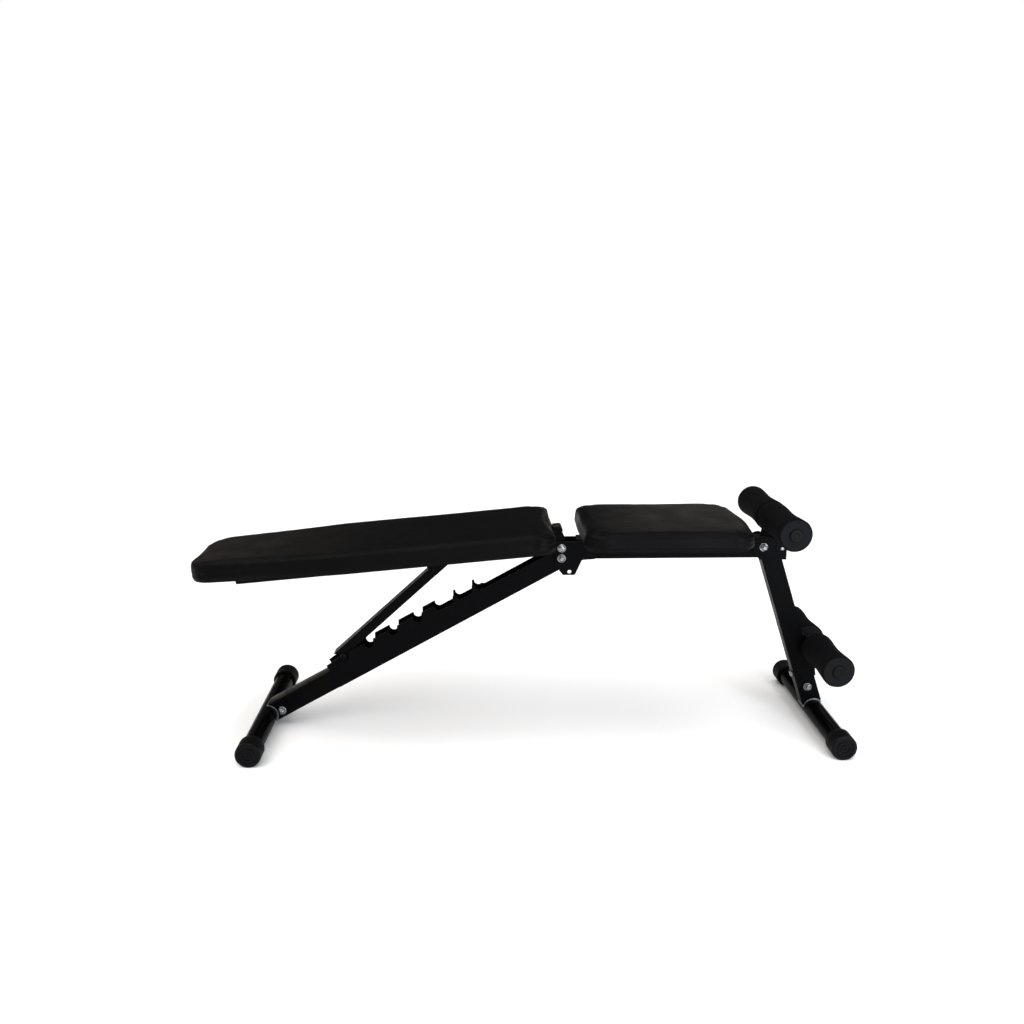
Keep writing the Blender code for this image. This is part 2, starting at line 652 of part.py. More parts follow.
def make_rear_leg(base):
    leg = frame_at("rear_leg", LEG_PIVOT, REAR_TILT, base)
    half = LEG_W / 2
    channel = side_plate("rack_channel", rack_outline(), -half, half, "black_steel", leg)
    inside = side_cutter("rack_inside", rectangle(-RACK_END - 0.05, 0.05, -half + LEG_WALL, 0.06),
                         -half + LEG_WALL, half - LEG_WALL, leg)
    boolean(channel, inside)
    boolean(channel, round_cutter("rack_pivot_hole", (0, 0), M8 + GAP, leg))
    end = -REAR_LEG_LENGTH + FOOT_TUBE_R
    tube = end_on_bar("rear_leg_tube", tube_section(LEG_W, LEG_W, LEG_WALL, 0.003),
                      end - 0.006, -RACK_END - GAP, "black_steel", leg)
    make_foot("rear", leg, tube, (-REAR_LEG_LENGTH, 0), (LEG_W, LEG_W), LEG_WALL, (0.0318, -0.0055),
              math.radians(180))
    return leg


def make_foot(name, parent, leg_tube, center, section, wall, bolt_at, toward_foot):
    """A round foot bar across the end of a leg, with its caps.  A saddle lies on the bar, and its
    tongue runs up inside the leg to a cross bolt, which is placed by how far up the leg and how far
    off its centre line it lies.  toward_foot is the leg's direction in its frame."""
    saddle_in = FOOT_TUBE_R + GAP
    saddle_out = saddle_in + SADDLE_WALL
    cx, cz = center
    turn = math.degrees(toward_foot) + 180
    boolean(leg_tube, round_cutter(name + "_foot_hollow", center, saddle_out + GAP, parent,
                                   steps=48))
    outline = arc(center, saddle_out, turn - SADDLE_WRAP, turn + SADDLE_WRAP, 12)
    outline += arc(center, saddle_in, turn + SADDLE_WRAP, turn - SADDLE_WRAP, 12)
    saddle_half = section[0] / 2 + 0.002
    saddle = side_plate(name + "_foot_saddle", outline, -saddle_half, saddle_half, "zinc_steel", parent)
    bolt_up, bolt_aside = bolt_at
    thick = section[1] / 2 - wall - 2 * GAP
    tongue_y = section[0] / 2 - wall - 2 * GAP
    along = Matrix.Translation((cx, 0, cz)) @ Matrix.Rotation(-math.radians(turn), 4, "Y")
    mesh = side_mesh(name + "_tongue", [rectangle(saddle_in + 0.0008, bolt_up + 0.014, -thick, thick)],
                     2 * tongue_y)
    mesh.transform(along)
    tongue = cutter(finish(bpy.data.objects.new(name + "_tongue", mesh), "zinc_steel", parent))
    boolean(tongue, round_cutter(name + "_tongue_trim", center, saddle_in + 0.0008, parent))
    boolean(saddle, tongue, "UNION")
    cos, sin = math.cos(math.radians(turn)), math.sin(math.radians(turn))
    place = (cx + bolt_up * cos - bolt_aside * sin, cz + bolt_up * sin + bolt_aside * cos)
    hole = round_cutter(name + "_foot_bolt_hole", place, M8 + GAP, parent)
    boolean(saddle, hole)
    boolean(leg_tube, hole)
    bolt_set(name + "_foot", place, M8, section[0] / 2, parent)

    tube_half = FOOT_LENGTH / 2 - 0.0045
    inner = FOOT_TUBE_R - FOOT_WALL
    ring = [(FOOT_TUBE_R, tube_half), (FOOT_TUBE_R, -tube_half), (inner, -tube_half), (inner, tube_half)]
    turned(name + "_foot_bar", ring, center, "black_steel", parent, ring=True)
    outer_end = FOOT_LENGTH / 2
    bore = FOOT_TUBE_R + GAP
    profile = [(0, outer_end), (FOOT_CAP_R - 0.003, outer_end), (FOOT_CAP_R, outer_end - 0.003)]
    inner_end = outer_end - FOOT_CAP_LENGTH
    profile += [(FOOT_CAP_R, inner_end), (bore, inner_end), (bore, tube_half + GAP), (0, tube_half + GAP)]
    for side, flip in (("left", False), ("right", True)):
        turned(f"{name}_foot_cap_{side}", profile, center, "black_plastic", parent, flip=flip)


# ---- front leg ----------------------------------------------------------------------------------
def make_front_leg(base):
    leg = frame_at("front_leg", FRONT_PIVOT, FRONT_TILT, base)
    half = FRONT_DEPTH / 2
    inner, outer = FRONT_OFFSET - half, FRONT_OFFSET + half
    crown_r = 0.0138                          # clears the seat rail's web as the leg turns
    level = math.degrees(FRONT_TILT)
    top = arc((0, 0), crown_r, 90 - level, 132, 6)
    drop = (outer - top[0][0]) * math.tan(FRONT_TILT)
    bottom = -FRONT_LEG_LENGTH + FOOT_TUBE_R - 0.006
    outline = top + [(inner, bottom), (outer, bottom), (outer, top[0][1] - drop)]
    tube = side_plate("front_leg_tube", outline, -FRONT_W / 2, FRONT_W / 2, "black_steel", leg)
    wall = 0.002
    hollow = side_cutter("front_leg_hollow", rectangle(inner + wall, outer - wall, bottom - 0.05, -0.016),
                         wall - FRONT_W / 2, FRONT_W / 2 - wall, leg)
    boolean(tube, hollow)
    boolean(tube, round_cutter("front_leg_eye", (0, 0), M8 + GAP, leg))
    make_foot("front", leg, tube, (FRONT_OFFSET, -FRONT_LEG_LENGTH), (FRONT_W, FRONT_DEPTH), wall,
              (0.051, 0.0), math.radians(-90))
    make_lower_roller(leg, outer, tube)
    return leg


def make_lower_roller(leg, face, tube):
    x, z = LOWER_BAR
    back = face + GAP
    eye = arc(LOWER_BAR, 0.0155, -110, 110, 10)
    outline = ([(back, z - 0.064), (back + 0.003, z - 0.064)] + eye
               + [(back + 0.003, z + 0.030), (back, z + 0.030)])
    bracket = side_plate("lower_roller_bracket", outline, -0.012, 0.012, "black_steel", leg)
    boolean(bracket, round_cutter("lower_bar_hole", LOWER_BAR, BAR_R + GAP, leg))
    height = z - 0.050
    along = bolt("lower_roller_bolt", (0, 0), M6, (FRONT_DEPTH + 0.004) / 2, 0.0022, leg)
    along.location = (FRONT_OFFSET + 0.002, 0, height)
    along.rotation_euler = (math.radians(-90), 0, math.radians(-90))
    hole = round_cutter("roller_bolt_hole", (0, 0), M6 + GAP, leg)
    hole.location = (FRONT_OFFSET, 0, height)
    hole.rotation_euler = (math.radians(-90), 0, math.radians(-90))
    boolean(bracket, hole)
    boolean(tube, hole)
    roller_bar("lower_roller", LOWER_BAR, leg)
    foam_rollers("lower", (0, 0), LOWER_FOAM_START, frame_at("lower_rollers", (x, z), 0, leg))


def main():
    base = make_seat_frame()
    back = make_backrest(base)
    make_strut(back)
    make_rear_leg(base)
    make_front_leg(base)


main()
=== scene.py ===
"""Looks of the adjustable weight bench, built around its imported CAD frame: cushions swollen by a cloth
simulation, turned foam rollers, ribbed foot caps, rounded steel pieces, bolts, nuts, brackets and weld
beads.
+X runs from the backrest's head end to the rollers, and a person who sits has +Y on the left."""
import json
import math

import bmesh
import bpy
import numpy as np
from mathutils import Matrix, Vector, noise


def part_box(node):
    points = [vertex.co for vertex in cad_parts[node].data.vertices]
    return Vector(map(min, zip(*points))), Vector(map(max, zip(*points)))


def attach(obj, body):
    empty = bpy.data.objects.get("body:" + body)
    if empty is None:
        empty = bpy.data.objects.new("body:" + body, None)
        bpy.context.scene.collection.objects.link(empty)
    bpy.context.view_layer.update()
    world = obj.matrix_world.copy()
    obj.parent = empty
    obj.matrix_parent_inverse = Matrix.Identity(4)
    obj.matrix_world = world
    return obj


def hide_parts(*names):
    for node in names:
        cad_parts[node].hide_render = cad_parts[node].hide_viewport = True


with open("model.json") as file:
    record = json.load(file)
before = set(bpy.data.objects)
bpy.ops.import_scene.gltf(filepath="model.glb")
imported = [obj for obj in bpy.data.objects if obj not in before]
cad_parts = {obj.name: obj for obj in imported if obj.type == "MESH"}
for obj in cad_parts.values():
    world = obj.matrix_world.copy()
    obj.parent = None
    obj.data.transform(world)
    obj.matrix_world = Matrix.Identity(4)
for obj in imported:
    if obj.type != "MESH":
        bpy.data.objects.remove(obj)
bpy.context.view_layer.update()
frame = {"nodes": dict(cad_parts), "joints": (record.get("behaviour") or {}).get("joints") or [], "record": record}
NODES = frame["nodes"]
BODY_OF = {node: body for body, members in frame["record"]["behaviour"]["bodies"].items()
           for node in members}
JOINTS = {joint["name"]: joint for joint in frame["joints"]}
MOUNTS = {mount["name"]: mount for mount in frame["record"]["mounts"]}

# ---- sizes, in metres ---------------------------------------------------------------------------
ROUND_SIDES = 64
FOAM_SIDES = 96
OUTLINE_POINTS = 240

VOXEL = 0.0045                    # remesh size of a cushion before it swells
PANEL = 0.0018                    # what shows of the board under a cushion
CUSHION_INSET = 0.0020            # the cover starts this much inside the cushion's CAD outline
CUSHION_LOW = 0.0045              # and this much under its top
CUSHION_CAP = 0.0035              # furthest that a point of the cover may swell
CUSHION_FRAMES = 20
CUSHION_PRESSURE = 2.0
CUSHION_BULGE = 0.0025            # how far a finished side stands out of the CAD outline
EDGE_ROUND = 0.0026               # rounding of a cushion's top edge before it swells
SEAT_CROWN = (0.0065, 0.0028)     # height of a top's middle over its edges, and over the CAD top
BACK_CROWN = (0.0020, 0.0016)
SEAT_CORNER = 0.042
SEAT_BOW = 0.0110                 # how far the middle of the seat's front edge bows forward
BACK_TAPER = 0.280
BACK_HEAD_W = 0.205
BACK_CORNERS = {"head": 0.050, "shoulder": 0.600, "hinge": 0.036}
# side folds: height on the side wall, depth, and the share of the depth that is only at the corners
SIDE_FOLDS = ((0.14, 0.0011, 0.2), (0.40, 0.0008, 0.7), (0.62, 0.0007, 0.9), (0.82, 0.0006, 0.9))
BOARD_INSET = 0.006
HEM = 0.024                       # width of the cover that is folded under the board
STAPLE_INSET = 0.017
STAPLES = 46

FOAM_R = 0.0322
FOAM_WAIST = 0.0291               # its radius in the middle
FOAM_EDGE = 0.0055
FOAM_BORE = 0.0109
FOAM_RING = 0.0225                # radius of the raised ring in its end face
FOOT_BAR = (0.0195, 0.0020)       # radius and wall
ROLLER_BAR = (0.0105, 0.0015)
CAP_RIBS = 36
CAP_RIB = 0.0016                  # depth of a foot cap's rib
CAP_RING = 0.0016                 # depth of the rings in its face

STEEL_ROUND = 0.0007              # rounding of a steel edge
M8 = 0.004                        # radius of the hinge bolts
WASHER = 0.0015
NUT_HEIGHT = 1.55                 # in bolt radii
NUT_TURN = 0.3                    # how far a nut stands turned, in radians
BEAD = 0.0015                     # radius of a weld bead
BEAD_OUT = 0.0008                 # how far its middle stands out of the tube it is on
RIPPLE = 0.0026                   # spacing of its ripples
BRIDGE_X = (-0.0134, 0.0054)      # length of the bridge between the backrest's ears, from the hinge
BRIDGE_DEPTH = 0.012
BRIDGE_SLOPE = (0.0030, 0.0055)   # length and height of its sloping corner
STRUT_DROP = 0.0138               # the strut's underside below its hinge
GUSSET_BACK = 0.003               # the strut bracket's length before and past the hinge
GUSSET_REACH = 0.032
FLUSH = 0.0001                    # a scene plate stands this much proud of the CAD plate it covers

LENS = 36                         # in mm, on a 36 mm sensor
CAMERA_PLACE = (-0.0684, -1.9966, 0.8911)
CAMERA_DOWN = 12.568              # degrees below level, and degrees to the right of +Y
CAMERA_RIGHT = 1.5625


# ---- node materials -----------------------------------------------------------------------------
class Shader:
    """A Principled material whose nodes are added one by one."""

    def __init__(self, name, color, roughness, metallic=0.0):
        self.material = bpy.data.materials.new(name)
        self.material.use_nodes = True
        self.tree = self.material.node_tree
        self.shader = self.tree.nodes["Principled BSDF"]
        self.color = color
        self.set("Base Color", (*color, 1))
        self.set("Roughness", roughness)
        self.set("Metallic", metallic)
        self.place = self.node("ShaderNodeTexCoord").outputs["Object"]
        self.height = None

    def set(self, socket, value):
        """Give one of the Principled node's inputs a plain value."""
        self.shader.inputs[socket].default_value = value

    def node(self, kind, **inputs):
        """A new node.  Each input is a value or another node's output, and _ stands for a space."""
        node = self.tree.nodes.new(kind)
        for key, value in inputs.items():
            socket = node.inputs[key.replace("_", " ")]
            if isinstance(value, bpy.types.NodeSocket):
                self.tree.links.new(value, socket)
            else:
                socket.default_value = value
        return node

    def link(self, output, socket):
        """Drive one of the Principled node's inputs."""
        self.tree.links.new(output, self.shader.inputs[socket])

    def stretch(self, scale):
        """The place, scaled apart along each axis, for grain and brush marks."""
        node = self.node("ShaderNodeMapping", Vector=self.place, Scale=scale)
        return node.outputs["Vector"]

    def noise(self, scale, detail=3.0, roughness=0.5, place=None):
        node = self.node("ShaderNodeTexNoise", Vector=place or self.place, Scale=scale, Detail=detail,
                         Roughness=roughness)
        return node.outputs["Fac"]

    def cells(self, scale, feature="DISTANCE_TO_EDGE"):
        node = self.node("ShaderNodeTexVoronoi", Vector=self.place, Scale=scale)
        node.feature = feature
        return node.outputs["Distance"]

    def span(self, fac, low, high, to_low, to_high):
        """Map a stretch of values onto another, clamped."""
        node = self.node("ShaderNodeMapRange", Value=fac, From_Min=low, From_Max=high,
                         To_Min=to_low, To_Max=to_high)
        return node.outputs["Result"]

    def math(self, operation, first, second):
        node = self.tree.nodes.new("ShaderNodeMath")
        node.operation = operation
        for socket, value in zip(node.inputs, (first, second)):
            if isinstance(value, bpy.types.NodeSocket):
                self.tree.links.new(value, socket)
            else:
                socket.default_value = value
        return node.outputs["Value"]

    def tint(self, fac, other):
        """Blend the material's colour towards another one."""
        ramp = self.tree.nodes.new("ShaderNodeMix")
        ramp.data_type = "RGBA"
        source = self.shader.inputs["Base Color"]
        if source.is_linked:
            self.tree.links.new(source.links[0].from_socket, ramp.inputs[6])
        else:
            ramp.inputs[6].default_value = (*self.color, 1)
        ramp.inputs[7].default_value = (*other, 1)
        self.tree.links.new(fac, ramp.inputs[0])
        self.link(ramp.outputs[2], "Base Color")

    def bump(self, height, distance, strength=1.0):
        """Raise the surface by a height, on top of the bumps added before."""
        node = self.node("ShaderNodeBump", Height=height, Distance=distance, Strength=strength)
        if self.height:
            self.tree.links.new(self.height, node.inputs["Normal"])
        self.height = node.outputs["Normal"]
        self.link(self.height, "Normal")

    def turned_to(self, axis):
        """How far a surface faces along an axis, -1 to 1."""
        normal = self.node("ShaderNodeNewGeometry").outputs["Normal"]
        return self.node("ShaderNodeSeparateXYZ", Vector=normal).outputs[axis]

    def facing_up(self, low, high):
        """0 to 1 as a surface turns up, where dust settles and where painted top light goes."""
        return self.span(self.turned_to("Z"), low, high, 0.0, 1.0)

    def facing_side(self, low, high):
        """0 to 1 as a surface turns to either side of the bench."""
        return self.span(self.math("ABSOLUTE", self.turned_to("Y"), 0), low, high, 0.0, 1.0)


def powder_coat(name="powder coat"):
    """Satin black powder coat: fine orange peel, faint mottling, a little dust, and painted light that makes the
    upward faces lighter and warmer.
    """
    s = Shader(name, (0.0011, 0.0011, 0.0014), 0.38)
    mottle = s.noise(26, 5, 0.6)
    s.link(s.span(mottle, 0.3, 0.7, 0.33, 0.47), "Roughness")
    s.tint(s.span(s.noise(90, 6, 0.65), 0.55, 0.8, 0, 0.35), (0.0038, 0.0038, 0.0046))
    # dust on the upward faces, and painted light: this warm lighter tone on upward faces stands in for light
    # falling on them
    dust_and_top_light = s.math("MULTIPLY", s.facing_up(0.35, 0.95),
                  s.span(s.noise(38, 4, 0.7), 0.35, 0.75, 0.15, 0.45))
    s.tint(dust_and_top_light, (0.064, 0.056, 0.048))
    s.bump(s.noise(950, 2, 0.5), 0.00025, 0.35)
    s.bump(s.noise(240, 3, 0.5), 0.00020, 0.30)
    s.set("Specular IOR Level", 0.03)
    return s.material


def glossy_paint(name="glossy paint"):
    """Gloss black tube paint, with long drawn streaks in its roughness and bumps, painted lighter as streaks of
    highlight.
    """
    s = Shader(name, (0.0010, 0.0010, 0.0012), 0.24)
    streaks = s.noise(150, 4, 0.6, s.stretch((1, 0.06, 1)))
    s.link(s.span(streaks, 0.3, 0.7, 0.16, 0.34), "Roughness")
    # painted highlight: the colour is made lighter along the streaks, in place of streaky reflections
    s.tint(s.span(streaks, 0.56, 0.72, 0, 0.5), (0.0100, 0.0096, 0.0092))
    s.bump(streaks, 0.00030, 0.35)
    s.bump(s.noise(500, 3, 0.5), 0.00012, 0.25)
    s.set("Specular IOR Level", 0.012)
    return s.material


def zinc(name="bright zinc"):
    """Zinc plate: blue-silver with rolling marks and a few duller spots."""
    s = Shader(name, (0.25, 0.25, 0.255), 0.28, 1.0)
    spots = s.noise(160, 5, 0.7)
    s.link(s.span(spots, 0.3, 0.75, 0.18, 0.42), "Roughness")
    s.tint(s.span(s.noise(70, 4, 0.6), 0.5, 0.8, 0, 0.5), (0.16, 0.155, 0.145))
    s.bump(s.noise(700, 3, 0.6), 0.00012, 0.35)
    return s.material


def vinyl(name="pad vinyl"):
    """Black synthetic leather: pebbled grain, fine creases, a soft sheen and rubbed high spots."""
    s = Shader(name, (0.0018, 0.0017, 0.0019), 0.46)
    s.link(s.span(s.noise(14, 5, 0.6), 0.3, 0.7, 0.40, 0.54), "Roughness")
    s.tint(s.span(s.noise(9, 4, 0.6), 0.42, 0.75, 0, 0.45), (0.0036, 0.0032, 0.0029))
    grain = s.span(s.cells(620), 0.0, 0.32, 0, 1)
    # painted shade: the grain's hollows are made darker
    s.tint(s.span(grain, 0, 1, 0.30, 0.0), (0.0012, 0.0012, 0.0012))
    s.bump(grain, 0.00016, 0.55)
    s.bump(s.noise(1700, 2, 0.5), 0.00008, 0.35)
    s.bump(s.noise(60, 4, 0.55), 0.0007, 0.30)
    s.set("Specular IOR Level", 0.038)
    s.set("Sheen Weight", 0.004)
    s.set("Sheen Roughness", 0.45)
    return s.material


def foam(name="roller foam"):
    """Matte closed-cell foam with open pores cut by the skin, painted shade in the pores and painted light on the
    end faces.
    """
    s = Shader(name, (0.0013, 0.0013, 0.0018), 0.88)
    pores = s.cells(780, "F1")
    # painted shade: the pores stay darker than the skin around them
    s.tint(s.span(pores, 0.15, 0.6, 0.0, 0.55), (0.0034, 0.0034, 0.0042))
    # painted light: the end faces, turned to either side, are made lighter for how the light falls on them
    s.tint(s.facing_side(0.80, 0.97), (0.0072, 0.0074, 0.0082))
    s.tint(s.span(s.noise(30, 5, 0.7), 0.5, 0.8, 0, 0.5), (0.0030, 0.0030, 0.0034))
    s.bump(pores, 0.00045, 0.6)
    s.bump(s.noise(300, 4, 0.7), 0.0004, 0.4)
    s.set("Specular IOR Level", 0.03)
    s.set("Sheen Weight", 0.003)
    s.set("Sheen Roughness", 0.6)
    return s.material


def moulded_plastic(name="moulded plastic"):
    """Semi-gloss moulded caps and plugs with a faint flow pattern and scuffs."""
    s = Shader(name, (0.0020, 0.0020, 0.0024), 0.40)
    s.link(s.span(s.noise(55, 5, 0.65), 0.3, 0.75, 0.34, 0.56), "Roughness")
    scuffs = s.span(s.noise(420, 3, 0.8, s.stretch((1, 0.15, 1))), 0.62, 0.8, 0, 0.5)
    s.tint(scuffs, (0.010, 0.010, 0.011))
    s.bump(s.noise(600, 3, 0.6), 0.00018, 0.35)
    s.set("Specular IOR Level", 0.07)
    return s.material


def plywood(name="plywood"):
    """Bare plywood: long grain, knots and a dusty surface."""
    s = Shader(name, (0.42, 0.29, 0.16), 0.75)
    grain = s.noise(40, 6, 0.65, s.stretch((0.12, 1.6, 1)))
    s.tint(s.span(grain, 0.35, 0.7, 0, 0.8), (0.24, 0.15, 0.075))
    s.tint(s.span(s.noise(7, 3, 0.5), 0.55, 0.8, 0, 0.5), (0.52, 0.40, 0.25))
    s.bump(grain, 0.0004, 0.35)
    return s.material


STEEL = powder_coat()
GLOSS = glossy_paint()
ZINC = zinc()
VINYL = vinyl()
FOAM = foam()
PLASTIC = moulded_plastic()
WOOD = plywood()


# ---- making pieces ------------------------------------------------------------------------------
def piece(name, mesh, material, body, *replaced, sharp=35):
    """A mesh that shows, in place, riding on a body and standing for CAD nodes."""
    obj = bpy.data.objects.new(name, mesh)
    bpy.context.scene.collection.objects.link(obj)
    mesh.materials.clear()
    mesh.materials.append(material)
    mesh.shade_smooth()
    mesh.set_sharp_from_angle(angle=math.radians(sharp))
    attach(obj, body)
    if replaced:
        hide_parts(*replaced)
    return obj


def finish_mesh(name, bm):
    """The mesh of a bmesh, with its faces turned outwards."""
    bmesh.ops.recalc_face_normals(bm, faces=bm.faces)
    mesh = bpy.data.meshes.new(name)
    bm.to_mesh(mesh)
    bm.free()
    return mesh


def lathe(profile, sides=ROUND_SIDES, ring=False, radius_at=None):
    """Turn a (radius, y) profile about the Y axis.  radius_at may change a point's radius by its
    angle: it gets (radius, y, angle).  A ring's profile closes on itself."""
    bm = bmesh.new()
    rows = []
    for r, y in profile:
        if r < 1e-7:
            rows.append([bm.verts.new((0, y, 0))])
            continue
        row = []
        for k in range(sides):
            angle = 2 * math.pi * k / sides
            radius = radius_at(r, y, angle) if radius_at else r
            row.append(bm.verts.new((radius * math.cos(angle), y, radius * math.sin(angle))))
        rows.append(row)
    pairs = list(zip(rows, rows[1:])) + ([(rows[-1], rows[0])] if ring else [])
    for a, b in pairs:
        for k in range(sides):
            m = (k + 1) % sides
            corners = [a[k % len(a)], a[m % len(a)], b[m % len(b)], b[k % len(b)]]
            corners = list(dict.fromkeys(corners))
            if len(corners) > 2:
                bm.faces.new(corners)
    return bm


def turned(name, profile, center, material, body, *replaced, sides=ROUND_SIDES, ring=False,
           radius_at=None, sharp=35):
    """A turned piece whose axis, along Y, goes through an (x, z) center."""
    bm = lathe(profile, sides, ring, radius_at)
    bmesh.ops.translate(bm, verts=bm.verts, vec=(center[0], 0, center[1]))
    return piece(name, finish_mesh(name, bm), material, body, *replaced, sharp=sharp)


def arc_points(cx, cy, radius, start, end, steps):
    """Points on an arc of a profile, with its angles in degrees."""
    turns = (math.radians(start + (end - start) * i / steps) for i in range(steps + 1))
    return [(cx + radius * math.cos(t), cy + radius * math.sin(t)) for t in turns]


def rounded_steel(node, material):
    """A hard node as it is, but with its edges rounded, so that they catch the light."""
    bm = bmesh.new()
    bm.from_mesh(NODES[node].data)
    bmesh.ops.remove_doubles(bm, verts=bm.verts, dist=2e-5)
    bmesh.ops.dissolve_limit(bm, angle_limit=math.radians(0.6), verts=bm.verts, edges=bm.edges)
    mesh = bpy.data.meshes.new(node + "_steel")
    bm.to_mesh(mesh)
    bm.free()
    obj = piece(node + "_steel", mesh, material, BODY_OF[node], node)
    bevel = obj.modifiers.new("rounded edges", "BEVEL")
    bevel.width = STEEL_ROUND
    bevel.segments = 2
    bevel.limit_method = "ANGLE"
    bevel.angle_limit = math.radians(32)
    bevel.harden_normals = True
    bevel.use_clamp_overlap = True


# ---- cushions -----------------------------------------------------------------------------------
def rounded_outline(corners, radii, spacing=0.004):
    """Points about every spacing metres along a counter-clockwise outline with rounded corners."""
    outline = []
    count = len(corners)
    for i, (corner, r) in enumerate(zip(corners, radii)):
        before, after = Vector(corners[i - 1]), Vector(corners[(i + 1) % count])
        here = Vector(corner)
        into, out = (here - before).normalized(), (after - here).normalized()
        turn = into.angle(out)
        back = r * math.tan(turn / 2)
        start = here - into * back
        center = start + Vector((-into.y, into.x)) * r
        first = math.atan2(start.y - center.y, start.x - center.x)
        steps = max(3, round(r * turn / spacing))
        for k in range(steps + 1):
            angle = first + turn * k / steps
            outline.append((center.x + r * math.cos(angle), center.y + r * math.sin(angle)))
    filled = []
    for a, b in zip(outline, outline[1:] + outline[:1]):
        pieces = max(1, round(math.dist(a, b) / spacing))
        filled += [(a[0] + (b[0] - a[0]) * k / pieces, a[1] + (b[1] - a[1]) * k / pieces)
                   for k in range(pieces)]
    return filled


def seat_outline(low, high, inset=0.0):
    """A rectangle with large corners and a front edge that bows forward."""
    corners = [(low.x + inset, low.y + inset), (high.x - inset, low.y + inset),
               (high.x - inset, high.y - inset), (low.x + inset, high.y - inset)]
    middle = (low.x + high.x) / 2
    return [(x + SEAT_BOW * max(0, (x - middle) / (high.x - middle)) ** 4
             * math.cos(math.pi / 2 * y / high.y) ** 2, y)
            for x, y in rounded_outline(corners, [SEAT_CORNER - inset] * 4)]


def back_outline(low, high, inset=0.0):
    """Straight sides that narrow to a rounded head end."""
    narrow = BACK_HEAD_W / 2 - inset
    wide = high.y - inset
    head, taper, hinge = low.x + inset, low.x + inset + BACK_TAPER, high.x - inset
    corners = [(head, -narrow), (taper, -wide), (hinge, -wide), (hinge, wide), (taper, wide),
               (head, narrow)]
    c = BACK_CORNERS
    radii = [c["head"] - inset, c["shoulder"], c["hinge"] - inset]
    return rounded_outline(corners, radii + radii[::-1])


def loft(rings, close_bottom=True, close_top=True):
    """Rings of points, joined in order, with an n-gon at each end."""
    bm = bmesh.new()
    rows = [[bm.verts.new(p) for p in ring] for ring in rings]
    count = len(rows[0])
    for a, b in zip(rows, rows[1:]):
        for k in range(count):
            m = (k + 1) % count
            bm.faces.new((a[k], a[m], b[m], b[k]))
    if close_bottom:
        bm.faces.new(rows[0][::-1])
    if close_top:
        bm.faces.new(rows[-1])
    return bm


def resample(loop, count=OUTLINE_POINTS):
    """The loop's points, spread evenly so that loops of different insets can be joined."""
    points = np.array(loop + loop[:1])
    steps = np.hypot(*np.diff(points, axis=0).T)
    along = np.concatenate([[0], np.cumsum(steps)])
    places = np.linspace(0, along[-1], count, endpoint=False)
    return list(zip(np.interp(places, along, points[:, 0]), np.interp(places, along, points[:, 1])))


def cover_block(name, outline_at, low, high):
    """The cover before it swells: the cushion's outline with its top edge rounded."""
    bottom, top = low.z + PANEL, high.z - CUSHION_LOW
    shape = [(CUSHION_INSET + 0.0015, bottom), (CUSHION_INSET, bottom + 0.002)]
    shape += [(CUSHION_INSET + EDGE_ROUND * (1 - math.cos(t)), top - EDGE_ROUND * (1 - math.sin(t)))
              for t in np.linspace(0, math.pi / 2, 7)]
    rings = [[(x, y, z) for x, y in resample(outline_at(low, high, inset))] for inset, z in shape]
    cover = bpy.data.objects.new(name, finish_mesh(name, loft(rings)))
    bpy.context.scene.collection.objects.link(cover)
    remesh = cover.modifiers.new("remesh", "REMESH")
    remesh.mode = "VOXEL"
    remesh.voxel_size = VOXEL
    apply_modifiers(cover)
    return cover


def swell(obj, floor_z):
    """Blow the cover up as cloth over its foam.  Its underside stays pinned to the board."""
    start = coordinates(obj.data)
    group = obj.vertex_groups.new(name="pinned")
    group.add([int(i) for i in np.nonzero(start[:, 2] < floor_z + 0.004)[0]], 1.0, "REPLACE")
    cloth = obj.modifiers.new("cloth", "CLOTH")
    settings = cloth.settings
    settings.vertex_group_mass = "pinned"
    settings.use_pressure = True
    settings.uniform_pressure_force = CUSHION_PRESSURE
    settings.effector_weights.gravity = 0
    settings.quality = 5
    settings.mass = 0.25
    settings.tension_stiffness = 12
    settings.compression_stiffness = 12
    settings.bending_stiffness = 1.2
    cloth.point_cache.frame_start = 1
    cloth.point_cache.frame_end = CUSHION_FRAMES
    scene = bpy.context.scene
    for number in range(1, CUSHION_FRAMES + 1):
        scene.frame_set(number)
    apply_modifiers(obj)
    moved = coordinates(obj.data) - start
    far = np.maximum(np.linalg.norm(moved, axis=1), 1e-9)
    moved *= np.minimum(1, CUSHION_CAP / far)[:, None]
    set_coordinates(obj.data, start + moved)
    scene.frame_set(1)


def coordinates(mesh):
    """The mesh's points, one in each row."""
    flat = np.empty(len(mesh.vertices) * 3)
    mesh.vertices.foreach_get("co", flat)
    return flat.reshape(-1, 3)


def set_coordinates(mesh, points):
    mesh.vertices.foreach_set("co", points.ravel())
    mesh.update()


def apply_modifiers(obj):
    """Replace the object's mesh by what its modifiers make of it."""
    mesh = bpy.data.meshes.new_from_object(obj.evaluated_get(bpy.context.evaluated_depsgraph_get()))
    old = obj.data
    obj.modifiers.clear()
    obj.data = mesh
    bpy.data.meshes.remove(old)


def corner_weight(points, outline_corners, reach):
    """How near each point is to a corner of the outline, from 1 at it to 0 at reach."""
    best = np.zeros(len(points))
    nearest_angle = np.zeros(len(points))
    for x, y in outline_corners:
        away = points[:, :2] - (x, y)
        near = np.clip(1 - np.hypot(away[:, 0], away[:, 1]) / reach, 0, 1)
        closer = near > best
        best = np.where(closer, near, best)
        nearest_angle = np.where(closer, np.arctan2(away[:, 1], away[:, 0]), nearest_angle)
    return best, nearest_angle


